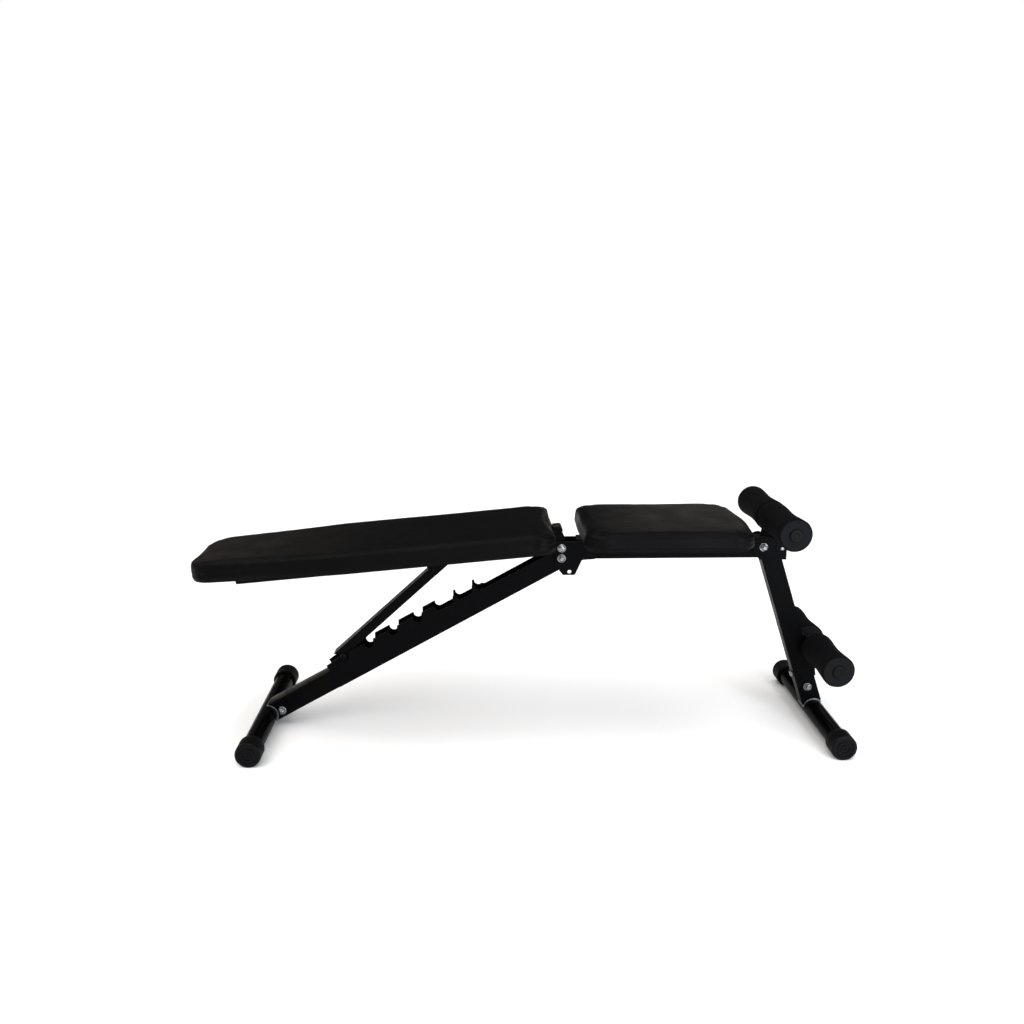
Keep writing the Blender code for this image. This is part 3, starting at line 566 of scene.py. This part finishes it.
def fit(points, outline, low, high, rise):
    """Stretch the swollen cover to its outline and height, with its sides and top a little proud."""
    grow = np.array((CUSHION_BULGE, CUSHION_BULGE, 0))
    target_low = np.array((*np.min(outline, axis=0), low.z + PANEL)) - grow
    target_high = np.array((*np.max(outline, axis=0), high.z + rise)) + grow
    seen_low, seen_high = points.min(0), points.max(0)
    return target_low + (points - seen_low) / (seen_high - seen_low) * (target_high - target_low)


def crowned(points, low, high, crown):
    """Lift the middle of the cover over its edges."""
    across = np.clip(np.abs(points[:, 1]) / high.y, 0, 1)
    along = np.clip(np.abs(2 * (points[:, 0] - low.x) / (high.x - low.x) - 1), 0, 1)
    height = np.clip((points[:, 2] - low.z) / (high.z - low.z), 0, 1)
    points[:, 2] += crown * (1 - across ** 4) * (1 - along ** 8) * height
    return points


def crease(points, normals, low, high, corners, seed):
    """Folds that the cloth is too coarse for: long level folds in the side wall that gather towards
    the corners, a faint ripple round each corner and slow unevenness."""
    height = (points[:, 2] - low.z) / (high.z - low.z)
    side = np.clip(1 - np.abs(normals[:, 2]) * 1.25, 0, 1)
    near, angle = corner_weight(points, corners, 0.085)
    wobble = np.array([noise.noise(Vector((x * 22 + seed, y * 22, z * 60))) for x, y, z in points])
    wander = np.array([noise.noise(Vector((x * 7 + seed, y * 7, 0))) for x, y, _ in points])
    push = 0.00035 * np.sin(angle * 16 + wobble * 3) * near ** 1.5 * side * np.clip(1.1 - height, 0, 1)
    for level, depth, gather in SIDE_FOLDS:
        line = np.exp(-(((height - level - 0.06 * wander) / 0.045) ** 2))
        push -= depth * line * side * (1 - gather + 1.6 * gather * near + 0.4 * wander)
    push += 0.0003 * wobble * (0.3 + side)
    push += 0.0005 * wander * np.clip(normals[:, 2], 0, 1)
    return points + normals * push[:, None]


def pulled(points, normals, wrinkles):
    """Shallow curved wrinkles in the top, each an arc given by its middle, radius, angles and depth."""
    for cx, cy, radius, first, last, depth in wrinkles:
        dx, dy = points[:, 0] - cx, points[:, 1] - cy
        angle = np.degrees(np.arctan2(dy, dx))
        along = np.clip(np.minimum(angle - first, last - angle) / 12, 0, 1)
        ridge = np.exp(-(((np.hypot(dx, dy) - radius) / 0.0032) ** 2))
        ridge -= 0.6 * np.exp(-(((np.hypot(dx, dy) - radius - 0.006) / 0.0040) ** 2))
        points[:, 2] += depth * ridge * along * np.clip(normals[:, 2], 0, 1) ** 2
    return points


def vertex_normals(mesh):
    flat = np.empty(len(mesh.vertices) * 3)
    mesh.vertices.foreach_get("normal", flat)
    return flat.reshape(-1, 3)


def cushion(name, pad, board, body, outline_at, place, corners_at, wrinkles, top, seed):
    """A swollen cover, the board under it and the hem that is folded over the board and stapled.
    place is the cushion's own frame, with its underside level."""
    flat = place.inverted()
    cad = np.array([flat @ v.co for v in NODES[pad].data.vertices])
    low, high = Vector(cad.min(0)), Vector(cad.max(0))
    cover = cover_block(name, outline_at, low, high)
    swell(cover, low.z)
    smoothing = cover.modifiers.new("smooth", "SMOOTH")
    smoothing.factor = 0.5
    smoothing.iterations = 3
    finer = cover.modifiers.new("finer", "SUBSURF")
    finer.levels = finer.render_levels = 1
    apply_modifiers(cover)
    crown, rise = top
    points = crowned(coordinates(cover.data), low, high, crown)
    points = fit(points, outline_at(low, high), low, high, rise)
    set_coordinates(cover.data, points)
    normals = vertex_normals(cover.data)
    points = crease(points, normals, low, high, corners_at(low, high), seed)
    set_coordinates(cover.data, pulled(points, normals, wrinkles))
    mesh = cover.data.copy()
    bpy.data.objects.remove(cover)
    mesh.transform(place)
    mesh.name = name
    obj = piece(name, mesh, VINYL, body, pad, sharp=60)
    under_board(name, board, body, outline_at, place, low, high)


def under_board(name, board, body, outline_at, place, low, high):
    """The board's underside and the folded hem round it."""
    edge = resample(outline_at(low, high, BOARD_INSET))
    rings = [[(x, y, low.z + z) for x, y in edge] for z in (0.0002, PANEL)]
    mesh = finish_mesh(name + "_board", loft(rings))
    mesh.transform(place)
    piece(name + "_board", mesh, WOOD, body, board)
    rings = []
    shape = [(0.0030, 0.0030), (0.0022, 0.0010), (0.0032, -0.0003), (0.0060, -0.0010),
             (HEM, -0.0009), (HEM + 0.0004, -0.0003), (HEM, 0.0001), (0.0060, 0.0001),
             (0.0050, 0.0010), (0.0050, 0.0028)]
    for inset, z in shape:
        ring = []
        for k, (x, y) in enumerate(resample(outline_at(low, high, inset))):
            ripple = 0.0004 * math.sin(k * 0.9) * math.sin(k * 0.23 + 1) * min(1, inset / HEM)
            ring.append((x, y, low.z + z - abs(ripple)))
        rings.append(ring)
    bm = loft(rings + [rings[0]], False, False)
    bmesh.ops.remove_doubles(bm, verts=bm.verts, dist=1e-6)
    mesh = finish_mesh(name + "_hem", bm)
    mesh.transform(place)
    piece(name + "_hem", mesh, VINYL, body)
    places = resample(outline_at(low, high, STAPLE_INSET), STAPLES)
    staples(name + "_staples", body, places, low.z, place)


def staples(name, body, places, z, place):
    """Flat wire staples through the hem."""
    bm = bmesh.new()
    half, wire = 0.0048, 0.00045
    for i, (x, y) in enumerate(places):
        x2, y2 = places[(i + 1) % len(places)]
        turn = math.atan2(y2 - y, x2 - x) + 0.25 * math.sin(i * 2.7)
        matrix = (Matrix.Translation((x, y, z - 0.0014)) @ Matrix.Rotation(turn, 4, "Z")
                  @ Matrix.Diagonal((2 * half, 2.2 * wire, 1.4 * wire, 1)))
        bmesh.ops.create_cube(bm, size=1, matrix=matrix)
    bmesh.ops.bevel(bm, geom=bm.edges[:], offset=0.0002, segments=1, affect="EDGES")
    mesh = finish_mesh(name, bm)
    mesh.transform(place)
    piece(name, mesh, ZINC, body)


def seat_corners(low, high):
    """The places near the corners that folds run towards."""
    r = SEAT_CORNER * 0.5
    return [(x, y) for x in (low.x + r, high.x - r) for y in (low.y + r, high.y - r)]


def back_corners(low, high):
    r = BACK_CORNERS["hinge"] * 0.5
    hinge = [(high.x - r, side * (high.y - r)) for side in (-1, 1)]
    head = [(low.x + 0.010, side * (BACK_HEAD_W / 2 - 0.008)) for side in (-1, 1)]
    return hinge + head


def back_frame():
    """The backrest's own frame: its hinge axis, turned so that its underside is level."""
    pivot = Vector(JOINTS["backrest_recline"]["pos_m"])
    normal = Vector(MOUNTS["backrest_top"]["axis"])
    tilt = math.atan2(normal.x, normal.z)
    return Matrix.Translation(pivot) @ Matrix.Rotation(tilt, 4, "Y")


BACK = back_frame()
seat_low, seat_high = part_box("seat_pad")
SEAT_WRINKLES = [(seat_low.x + 0.075, seat_low.y + 0.005, 0.062, 62, 138, 0.0006),
                 (seat_high.x - 0.030, seat_low.y - 0.010, 0.075, 80, 150, 0.0003),
                 (seat_low.x + 0.060, seat_high.y - 0.005, 0.070, -140, -60, 0.0003)]
BACK_WRINKLES = [(-0.085, -0.165, 0.085, 50, 120, 0.0004), (-0.060, 0.160, 0.080, -130, -50, 0.0003),
                 (-0.640, -0.120, 0.075, 35, 130, 0.0003)]
cushion("seat_cushion", "seat_pad", "seat_board", "seat_frame", seat_outline, Matrix.Identity(4),
        seat_corners, SEAT_WRINKLES, SEAT_CROWN, 3.0)
cushion("backrest_cushion", "backrest_pad", "backrest_board", "backrest", back_outline, BACK,
        back_corners, BACK_WRINKLES, BACK_CROWN, 11.0)


# ---- foam rollers -------------------------------------------------------------------------------
def foam_roller(name, center):
    """A foam sleeve, which is a body of its own: full at both ends, narrow in the middle, with a
    softly dented skin."""
    low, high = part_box(name)
    start, end = low.y, high.y
    face = [(FOAM_BORE, end - 0.0012), (FOAM_BORE + 0.0030, end - 0.0002),
            (FOAM_BORE + 0.0075, end - 0.0009), (FOAM_RING, end + 0.0001)]
    face += arc_points(FOAM_R - FOAM_EDGE, end - FOAM_EDGE, FOAM_EDGE, 90, 0, 7)
    profile = list(face)
    reach = (end - start) / 2 - FOAM_EDGE
    mid = (start + end) / 2
    steps = 26
    for i in range(1, steps):
        t = 1 - 2 * i / steps
        waist = math.cos(math.pi * t) * 0.5 + 0.5
        profile.append((FOAM_R - (FOAM_R - FOAM_WAIST) * waist ** 0.8, mid + reach * t))
    profile += [(r, 2 * mid - y) for r, y in face[::-1]]

    def dented(r, y, angle):
        spot = Vector((math.cos(angle) * 1.6, math.sin(angle) * 1.6, y * 34 + len(name)))
        return r + 0.00045 * noise.noise(spot) * (r > 0.024)

    obj = turned(name + "_sleeve", profile, center, FOAM, name, name, sides=FOAM_SIDES, ring=True,
                 radius_at=dented, sharp=70)


def hub_plug(node, body, center):
    """The pressed-in plug at the end of a roller bar: a rounded flange with a dished middle."""
    low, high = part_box(node)
    out = 1 if high.y > 0 else -1
    face = max(abs(low.y), abs(high.y))
    profile = [(0, face - 0.0014), (0.0048, face - 0.0013), (0.0060, face - 0.0003)]
    profile += arc_points(0.0104, face - 0.0022, 0.0021, 90, 0, 5)
    profile += [(0.0125, face - 0.0030), (0.0086, face - 0.0031), (0.0086, face - 0.0200),
                (0, face - 0.0200)]
    profile = [(r, out * y) for r, y in profile]
    turned(node + "_cap", profile, center, PLASTIC, body, node)


def joint_center(name):
    """The (x, z) of a joint whose axis is along Y."""
    x, _, z = JOINTS[name]["pos_m"]
    return x, z


for level, body in (("upper", "seat_frame"), ("lower", "front_leg")):
    for side in ("left", "right"):
        sleeve = f"{level}_foam_{side}"
        center = joint_center(sleeve + "_spin")
        foam_roller(sleeve, center)
        hub_plug(f"{level}_roller_plug_{side}", body, center)


# ---- round bars and foot caps -------------------------------------------------------------------
def round_bar(node, radius, wall, material):
    """A round tube with its ends eased."""
    low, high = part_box(node)
    mid = (low + high) / 2
    ease = 0.0006
    half = (high.y - low.y) / 2
    profile = [(radius - ease, half), (radius, half - ease), (radius, ease - half),
               (radius - ease, -half), (radius - wall, -half), (radius - wall, half)]
    turned(node + "_round", profile, (mid.x, mid.z), material, BODY_OF[node], node, ring=True)


def foot_cap(node):
    """A ribbed cap: ribs along its grip, a plain lip at its mouth and rings moulded in its face."""
    low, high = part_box(node)
    mid = (low + high) / 2
    out = 1 if mid.y > 0 else -1
    radius = (high.z - low.z) / 2
    face, mouth = max(abs(low.y), abs(high.y)), min(abs(low.y), abs(high.y))
    lip = 0.0065
    sunk = face - CAP_RING
    profile = [(0, sunk), (0.0030, sunk), (0.0036, face - 0.0002), (0.0054, face), (0.0060, sunk),
               (0.0096, sunk), (0.0102, face), (0.0126, face), (0.0132, sunk), (0.0168, sunk),
               (0.0176, face - 0.0002)]
    profile += arc_points(radius - 0.0030, face - 0.0032, 0.0030, 85, 0, 6)
    grip = (mouth + lip + 0.0015, face - 0.0034)
    steps = 8
    profile += [(radius, grip[1] - (grip[1] - grip[0]) * i / steps) for i in range(1, steps + 1)]
    profile += [(radius - 0.0009, mouth + lip), (radius - 0.0009, mouth + lip - 0.0008),
                (radius, mouth + lip - 0.0014), (radius, mouth + 0.0008), (radius - 0.0008, mouth),
                (0.0198, mouth), (0.0198, face - 0.0042), (0, face - 0.0042)]

    def ribbed(r, y, angle):
        along = abs(y)
        if r < radius - 0.0001 or not grip[0] < along < grip[1]:
            return r
        fade = min(1, (along - grip[0]) / 0.002, (grip[1] - along) / 0.002)
        return r - CAP_RIB * fade * (0.5 - 0.5 * math.cos(angle * CAP_RIBS)) ** 2

    turned(node + "_ribbed", [(r, out * y) for r, y in profile], (mid.x, mid.z), PLASTIC, BODY_OF[node],
           node, sides=CAP_RIBS * 6, radius_at=ribbed)


for end in ("rear", "front"):
    round_bar(f"{end}_foot_bar", *FOOT_BAR, GLOSS)
    for side in ("left", "right"):
        foot_cap(f"{end}_foot_cap_{side}")
for level in ("upper", "lower"):
    round_bar(f"{level}_roller_bar", *ROLLER_BAR, STEEL)


# ---- bolts and nuts -----------------------------------------------------------------------------
def hexagon(bm, across, y_from, y_to, chamfer=0.0006):
    """A hexagon prism along Y with its rims eased."""
    rows = []
    for y, shrink in ((y_from, chamfer), (y_from + chamfer, 0), (y_to - chamfer, 0), (y_to, chamfer)):
        r = (across / 2) / math.cos(math.pi / 6) - shrink
        turns = [math.pi * k / 3 + NUT_TURN for k in range(6)]
        rows.append([bm.verts.new((r * math.cos(turn), y, r * math.sin(turn))) for turn in turns])
    for a, b in zip(rows, rows[1:]):
        for k in range(6):
            bm.faces.new((a[k], a[(k + 1) % 6], b[(k + 1) % 6], b[k]))
    bm.faces.new(rows[0][::-1])
    bm.faces.new(rows[-1])


def add_lathe(bm, profile, sides=40):
    """Add a turned shape, closed by itself, to a bmesh."""
    mesh = finish_mesh("part", lathe(profile, sides))
    bm.from_mesh(mesh)
    bpy.data.meshes.remove(mesh)


def screw_side(kind, shank, face):
    """What shows on one side of a through bolt, built towards +Y from the plate's face."""
    bm = bmesh.new()
    washer = 2.12 * shank
    base = face + WASHER
    add_lathe(bm, [(0, face), (washer - 0.0003, face), (washer, face + 0.0003), (washer, base - 0.0003),
                   (washer - 0.0004, base), (0, base)])
    if kind == "dome":
        dome = [(0, base), (1.85 * shank, base), (1.85 * shank, base + 0.0008)]
        dome += [(1.85 * shank * math.cos(t), base + 0.0008 + 0.0036 * math.sin(t))
                 for t in np.linspace(0.15, 1.22, 7)]
        dome += [(0.55 * shank, base + 0.0043), (0.50 * shank, base + 0.0022), (0, base + 0.0020)]
        add_lathe(bm, dome)
    else:
        height = NUT_HEIGHT * shank
        hexagon(bm, 3.1 * shank, base, base + height)
        collar = [(0, base + height - 0.0002), (1.45 * shank, base + height - 0.0002),
                  (1.45 * shank, base + height + 0.0006), (1.2 * shank, base + height + 0.0012),
                  (0, base + height + 0.0012)]
        add_lathe(bm, collar)
        tip = base + height + 0.0030
        thread = [(0, tip), (0.75 * shank, tip)]
        for i in range(4):
            thread += [(shank * 0.97, tip - 0.0007 - 0.0008 * i),
                       (shank * 0.84, tip - 0.0011 - 0.0008 * i)]
        add_lathe(bm, thread + [(0, base + height)])
    return bm


def through_bolt(base, kinds, shank):
    """Head and nut of one hinge bolt.  kinds names what shows on the right and on the left."""
    bolt, nut = base + "_bolt", base + "_nut"
    body = BODY_OF[bolt]
    low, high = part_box(bolt)
    mid = (low + high) / 2
    nut_low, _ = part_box(nut)
    face = nut_low.y
    for node, kind, turn in ((bolt, kinds[0], -1), (nut, kinds[1], 1)):
        bm = screw_side(kind, shank, face)
        if turn < 0:
            bmesh.ops.scale(bm, vec=(1, -1, 1), verts=bm.verts)
        bmesh.ops.translate(bm, verts=bm.verts, vec=(mid.x, 0, mid.z))
        piece(node + "_" + kind, finish_mesh(node, bm), ZINC, body, node)
        if kind == "nut":                    # the dark ring of a lock nut
            top = face + WASHER + NUT_HEIGHT * shank
            ring = [(1.02 * shank, top), (1.32 * shank, top), (1.30 * shank, top + 0.0015),
                    (1.04 * shank, top + 0.0013)]
            turned(node + "_nylon", [(r, turn * y) for r, y in ring], (mid.x, mid.z), PLASTIC, body,
                   ring=True)


through_bolt("backrest_pivot", ("dome", "nut"), M8)
for base in ("rear_leg_pivot", "front_leg_pivot", "front_foot", "rear_foot"):
    through_bolt(base, ("nut", "dome"), M8)


# ---- weld beads ---------------------------------------------------------------------------------
def bead(name, body, corners, closed=False):
    """A rippled weld along a path."""
    corners = [Vector(c) for c in corners] + ([Vector(corners[0])] if closed else [])
    path = [a.lerp(b, i / n) for a, b in zip(corners, corners[1:])
            for n in [max(2, round((b - a).length / 0.0008))] for i in range(n)]
    if not closed:
        path.append(corners[-1])
    bm = bmesh.new()
    rows, gone, last = [], 0.0, len(path) - 1
    for i, point in enumerate(path):
        ahead = path[(i + 1) % len(path)] if closed else path[min(i + 1, last)]
        behind = path[i - 1] if closed or i else path[0]
        along = (ahead - behind).normalized()
        aside = Vector((0.3, 0.2, 1)) if abs(along.z) < 0.9 else Vector((1, 0, 0))
        across = along.cross(aside).normalized()
        other = along.cross(across)
        gone += (ahead - point).length
        end = 1.0 if closed else min(1, (i + 0.6) / 3, (last - i + 0.6) / 3)
        ripple = 0.16 * math.sin(gone * 2 * math.pi / RIPPLE) + 0.10 * math.sin(gone * 900)
        radius = BEAD * end * (1 + ripple)
        rows.append([bm.verts.new(point + (across * math.cos(t) + other * math.sin(t)) * radius)
                     for t in np.linspace(0, 2 * math.pi, 9)[:-1]])
    for a, b in list(zip(rows, rows[1:])) + ([(rows[-1], rows[0])] if closed else []):
        for k in range(8):
            bm.faces.new((a[k], a[(k + 1) % 8], b[(k + 1) % 8], b[k]))
    if not closed:
        bm.faces.new(rows[0][::-1])
        bm.faces.new(rows[-1])
    piece(name, finish_mesh(name, bm), STEEL, body, sharp=80)


def ring_path(x, y, z, radius):
    """A circle round an axis along Y."""
    turns = np.linspace(0, 2 * math.pi, 41)[:-1]
    return [(x + radius * math.cos(t), y, z + radius * math.sin(t)) for t in turns]


def local_box(node, place):
    """A node's box in a frame of its own."""
    points = np.array([place.inverted() @ v.co for v in NODES[node].data.vertices])
    return Vector(points.min(0)), Vector(points.max(0))


def placed(place, points):
    """Points of a frame of its own, in the scene's frame."""
    return [place @ Vector(p) for p in points]


rail_low, rail_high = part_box("seat_rail")
_, tube_high = local_box("backrest_rail", BACK)
for side, sign in (("left", 1), ("right", -1)):
    low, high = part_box("hinge_plate_" + side)
    y = sign * (rail_high.y + BEAD_OUT)
    bead("hinge_weld_" + side, "seat_frame",
         [(rail_low.x + 0.003, y, high.z), (high.x + 0.0006, y, high.z),
          (high.x + 0.0006, y, rail_low.z + 0.002)])
    low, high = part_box("front_bracket_" + side)
    bead("front_weld_" + side, "seat_frame",
         [(high.x - 0.024, y, rail_high.z - 0.0016), (high.x - 0.002, y, rail_high.z - 0.0016)])
    low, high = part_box("upper_roller_bracket")
    bead("roller_foot_weld_" + side, "seat_frame",
         [(low.x + 0.009, sign * 0.0040, low.z + 0.0003),
          (high.x - 0.004, sign * 0.0040, low.z + 0.0003)])
    for which in ("rear", "front"):
        low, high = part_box("seat_mount_plate_" + which)
        bead(f"seat_{which}_weld_{side}", "seat_frame",
             [(low.x + 0.003, sign * rail_high.y, low.z - 0.0004),
              (high.x - 0.003, sign * rail_high.y, low.z - 0.0004)])
    for which in ("head", "hinge"):
        low, high = local_box("backrest_mount_plate_" + which, BACK)
        bead(f"back_{which}_weld_{side}", "backrest",
             placed(BACK, [(low.x + 0.003, sign * tube_high.y, low.z - 0.0004),
                           (high.x - 0.003, sign * tube_high.y, low.z - 0.0004)]))
    for node, inset in (("strut_hanger_" + side, 0.002), ("backrest_ear_" + side, 0.004)):
        low, high = local_box(node, BACK)
        level = high.z if "hanger" in node else tube_high.z - 0.002
        reach = high.x if "hanger" in node else low.x + 0.040
        bead(node + "_weld", "backrest",
             placed(BACK, [(low.x + inset, sign * (tube_high.y + BEAD_OUT), level),
                           (reach - inset, sign * (tube_high.y + BEAD_OUT), level)]))
for level, body in (("upper", "seat_frame"), ("lower", "front_leg")):
    x, z = joint_center(f"{level}_foam_left_spin")
    _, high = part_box(level + "_roller_bracket")
    for side, sign in (("left", 1), ("right", -1)):
        bead(f"{level}_bar_weld_{side}", body, ring_path(x, sign * high.y, z, 0.0112), closed=True)


# ---- added brackets of the backrest -------------------------------------------------------------
def plate(name, outline, y_low, y_high, place, body):
    """A flat piece cut to an XZ outline, in a frame of its own, with eased edges."""
    bm = loft([[(x, y, z) for x, z in outline] for y in (y_low, y_high)])
    bmesh.ops.recalc_face_normals(bm, faces=bm.faces[:])
    bmesh.ops.bevel(bm, geom=bm.edges[:], offset=STEEL_ROUND, segments=2, affect="EDGES")
    mesh = finish_mesh(name, bm)
    mesh.transform(place)
    piece(name, mesh, STEEL, body)


_, ear_high = local_box("backrest_ear_left", BACK)
rear_x, front_x = BRIDGE_X
top_z, half_y = ear_high.z, ear_high.y + FLUSH
bridge = [(rear_x, top_z - BRIDGE_DEPTH), (front_x, top_z - BRIDGE_DEPTH),
          (front_x, top_z - BRIDGE_SLOPE[1]), (front_x - BRIDGE_SLOPE[0], top_z), (rear_x, top_z)]
plate("hinge_bridge", bridge, -half_y, half_y, BACK, "backrest")

hinge = BACK.inverted() @ Vector(JOINTS["strut_swing"]["pos_m"])
pin_low, pin_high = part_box("strut_pin")
pin = BACK.inverted() @ ((pin_low + pin_high) / 2)
lean = math.atan2(hinge.z - pin.z, hinge.x - pin.x) - math.asin(STRUT_DROP / math.dist(hinge, pin))
along = Vector((math.cos(lean), 0, math.sin(lean)))
under = Vector((math.sin(lean), 0, -math.cos(lean)))
heel = hinge + STRUT_DROP * under - GUSSET_BACK * along
toe = hinge + STRUT_DROP * under + GUSSET_REACH * along
for side in ("left", "right"):
    low, high = local_box("strut_hanger_" + side, BACK)
    gusset = [(heel.x, heel.z), (toe.x, toe.z), (toe.x, high.z), (hinge.x, high.z)]
    plate("strut_gusset_" + side, gusset, low.y - FLUSH, high.y + FLUSH, BACK, "backrest")


# ---- the other hard nodes -----------------------------------------------------------------------
HARD = {"black_steel": STEEL, "zinc_steel": ZINC, "black_plastic": PLASTIC}
SLOT_OF_NODE = {row["node"]: row["material_slot"] for row in frame["record"]["subparts"]}
for node in sorted(NODES):
    slot = SLOT_OF_NODE[node]
    if slot in HARD and not NODES[node].hide_render:
        rounded_steel(node, HARD[slot])


# ---- floor, light and camera --------------------------------------------------------------------
floor_shader = Shader("studio floor", (0.93, 0.93, 0.925), 0.7)
floor_shader.link(floor_shader.span(floor_shader.noise(3, 3), 0.3, 0.7, 0.66, 0.74), "Roughness")
bpy.ops.mesh.primitive_plane_add(size=60)
floor = bpy.context.object
floor.name = "studio_floor"
floor.data.materials.append(floor_shader.material)


def lamp(name, kind, place, target, energy, color, **settings):
    """A light at a place, turned to face a target."""
    data = bpy.data.lights.new(name, kind)
    data.energy = energy
    data.color = color
    for key, value in settings.items():
        setattr(data, key, value)
    light = bpy.data.objects.new(name, data)
    light.visible_camera = False
    light.location = place
    light.rotation_euler = (Vector(target) - Vector(place)).to_track_quat("-Z", "Y").to_euler()
    bpy.context.scene.collection.objects.link(light)


def studio_world():
    """A white backdrop for the camera, with a dim room around the bench for its reflections."""
    world = bpy.data.worlds.new("studio")
    world.use_nodes = True
    tree = world.node_tree
    room = tree.nodes["Background"]
    room.inputs["Color"].default_value = (0.90, 0.92, 1.0, 1)
    room.inputs["Strength"].default_value = 0.04
    backdrop = tree.nodes.new("ShaderNodeBackground")
    backdrop.inputs["Color"].default_value = (1, 1, 1, 1)
    mix = tree.nodes.new("ShaderNodeMixShader")
    rays = tree.nodes.new("ShaderNodeLightPath")
    tree.links.new(rays.outputs["Is Camera Ray"], mix.inputs["Fac"])
    tree.links.new(room.outputs["Background"], mix.inputs[1])
    tree.links.new(backdrop.outputs["Background"], mix.inputs[2])
    tree.links.new(mix.outputs["Shader"], tree.nodes["World Output"].inputs["Surface"])
    bpy.context.scene.world = world


# name, place, width and height, energy and colour of each area lamp
AREA_LAMPS = (("window", (-1.55, 2.3, 1.05), (1.3, 0.9), 1.5, (1.0, 0.83, 0.68)),
              ("wall", (1.05, 2.3, 1.10), (1.1, 0.8), 2.2, (1.0, 0.93, 0.86)),
              ("door", (-2.6, -0.4, 0.8), (1.0, 1.2), 1.6, (1.0, 0.88, 0.76)),
              ("fill", (1.5, -2.4, 0.9), (1.4, 1.2), 70, (0.84, 0.90, 1.0)))
lamp("overhead", "SUN", (-0.5, -0.7, 2.2), (0, 0, 0), 4.5, (1.0, 0.99, 0.98), angle=math.radians(95))
for name, place, size, energy, color in AREA_LAMPS:
    lamp(name, "AREA", place, (0, 0, 0.35), energy, color, shape="RECTANGLE", size=size[0],
         size_y=size[1])
studio_world()
bpy.context.scene.view_settings.view_transform = "Standard"

camera_data = bpy.data.cameras.new("camera")
camera_data.lens = LENS
camera_data.sensor_width = 36
camera = bpy.data.objects.new("camera", camera_data)
camera.location = CAMERA_PLACE
camera.rotation_euler = (math.radians(90 - CAMERA_DOWN), 0, math.radians(-CAMERA_RIGHT))
bpy.context.scene.collection.objects.link(camera)
bpy.context.scene.camera = camera
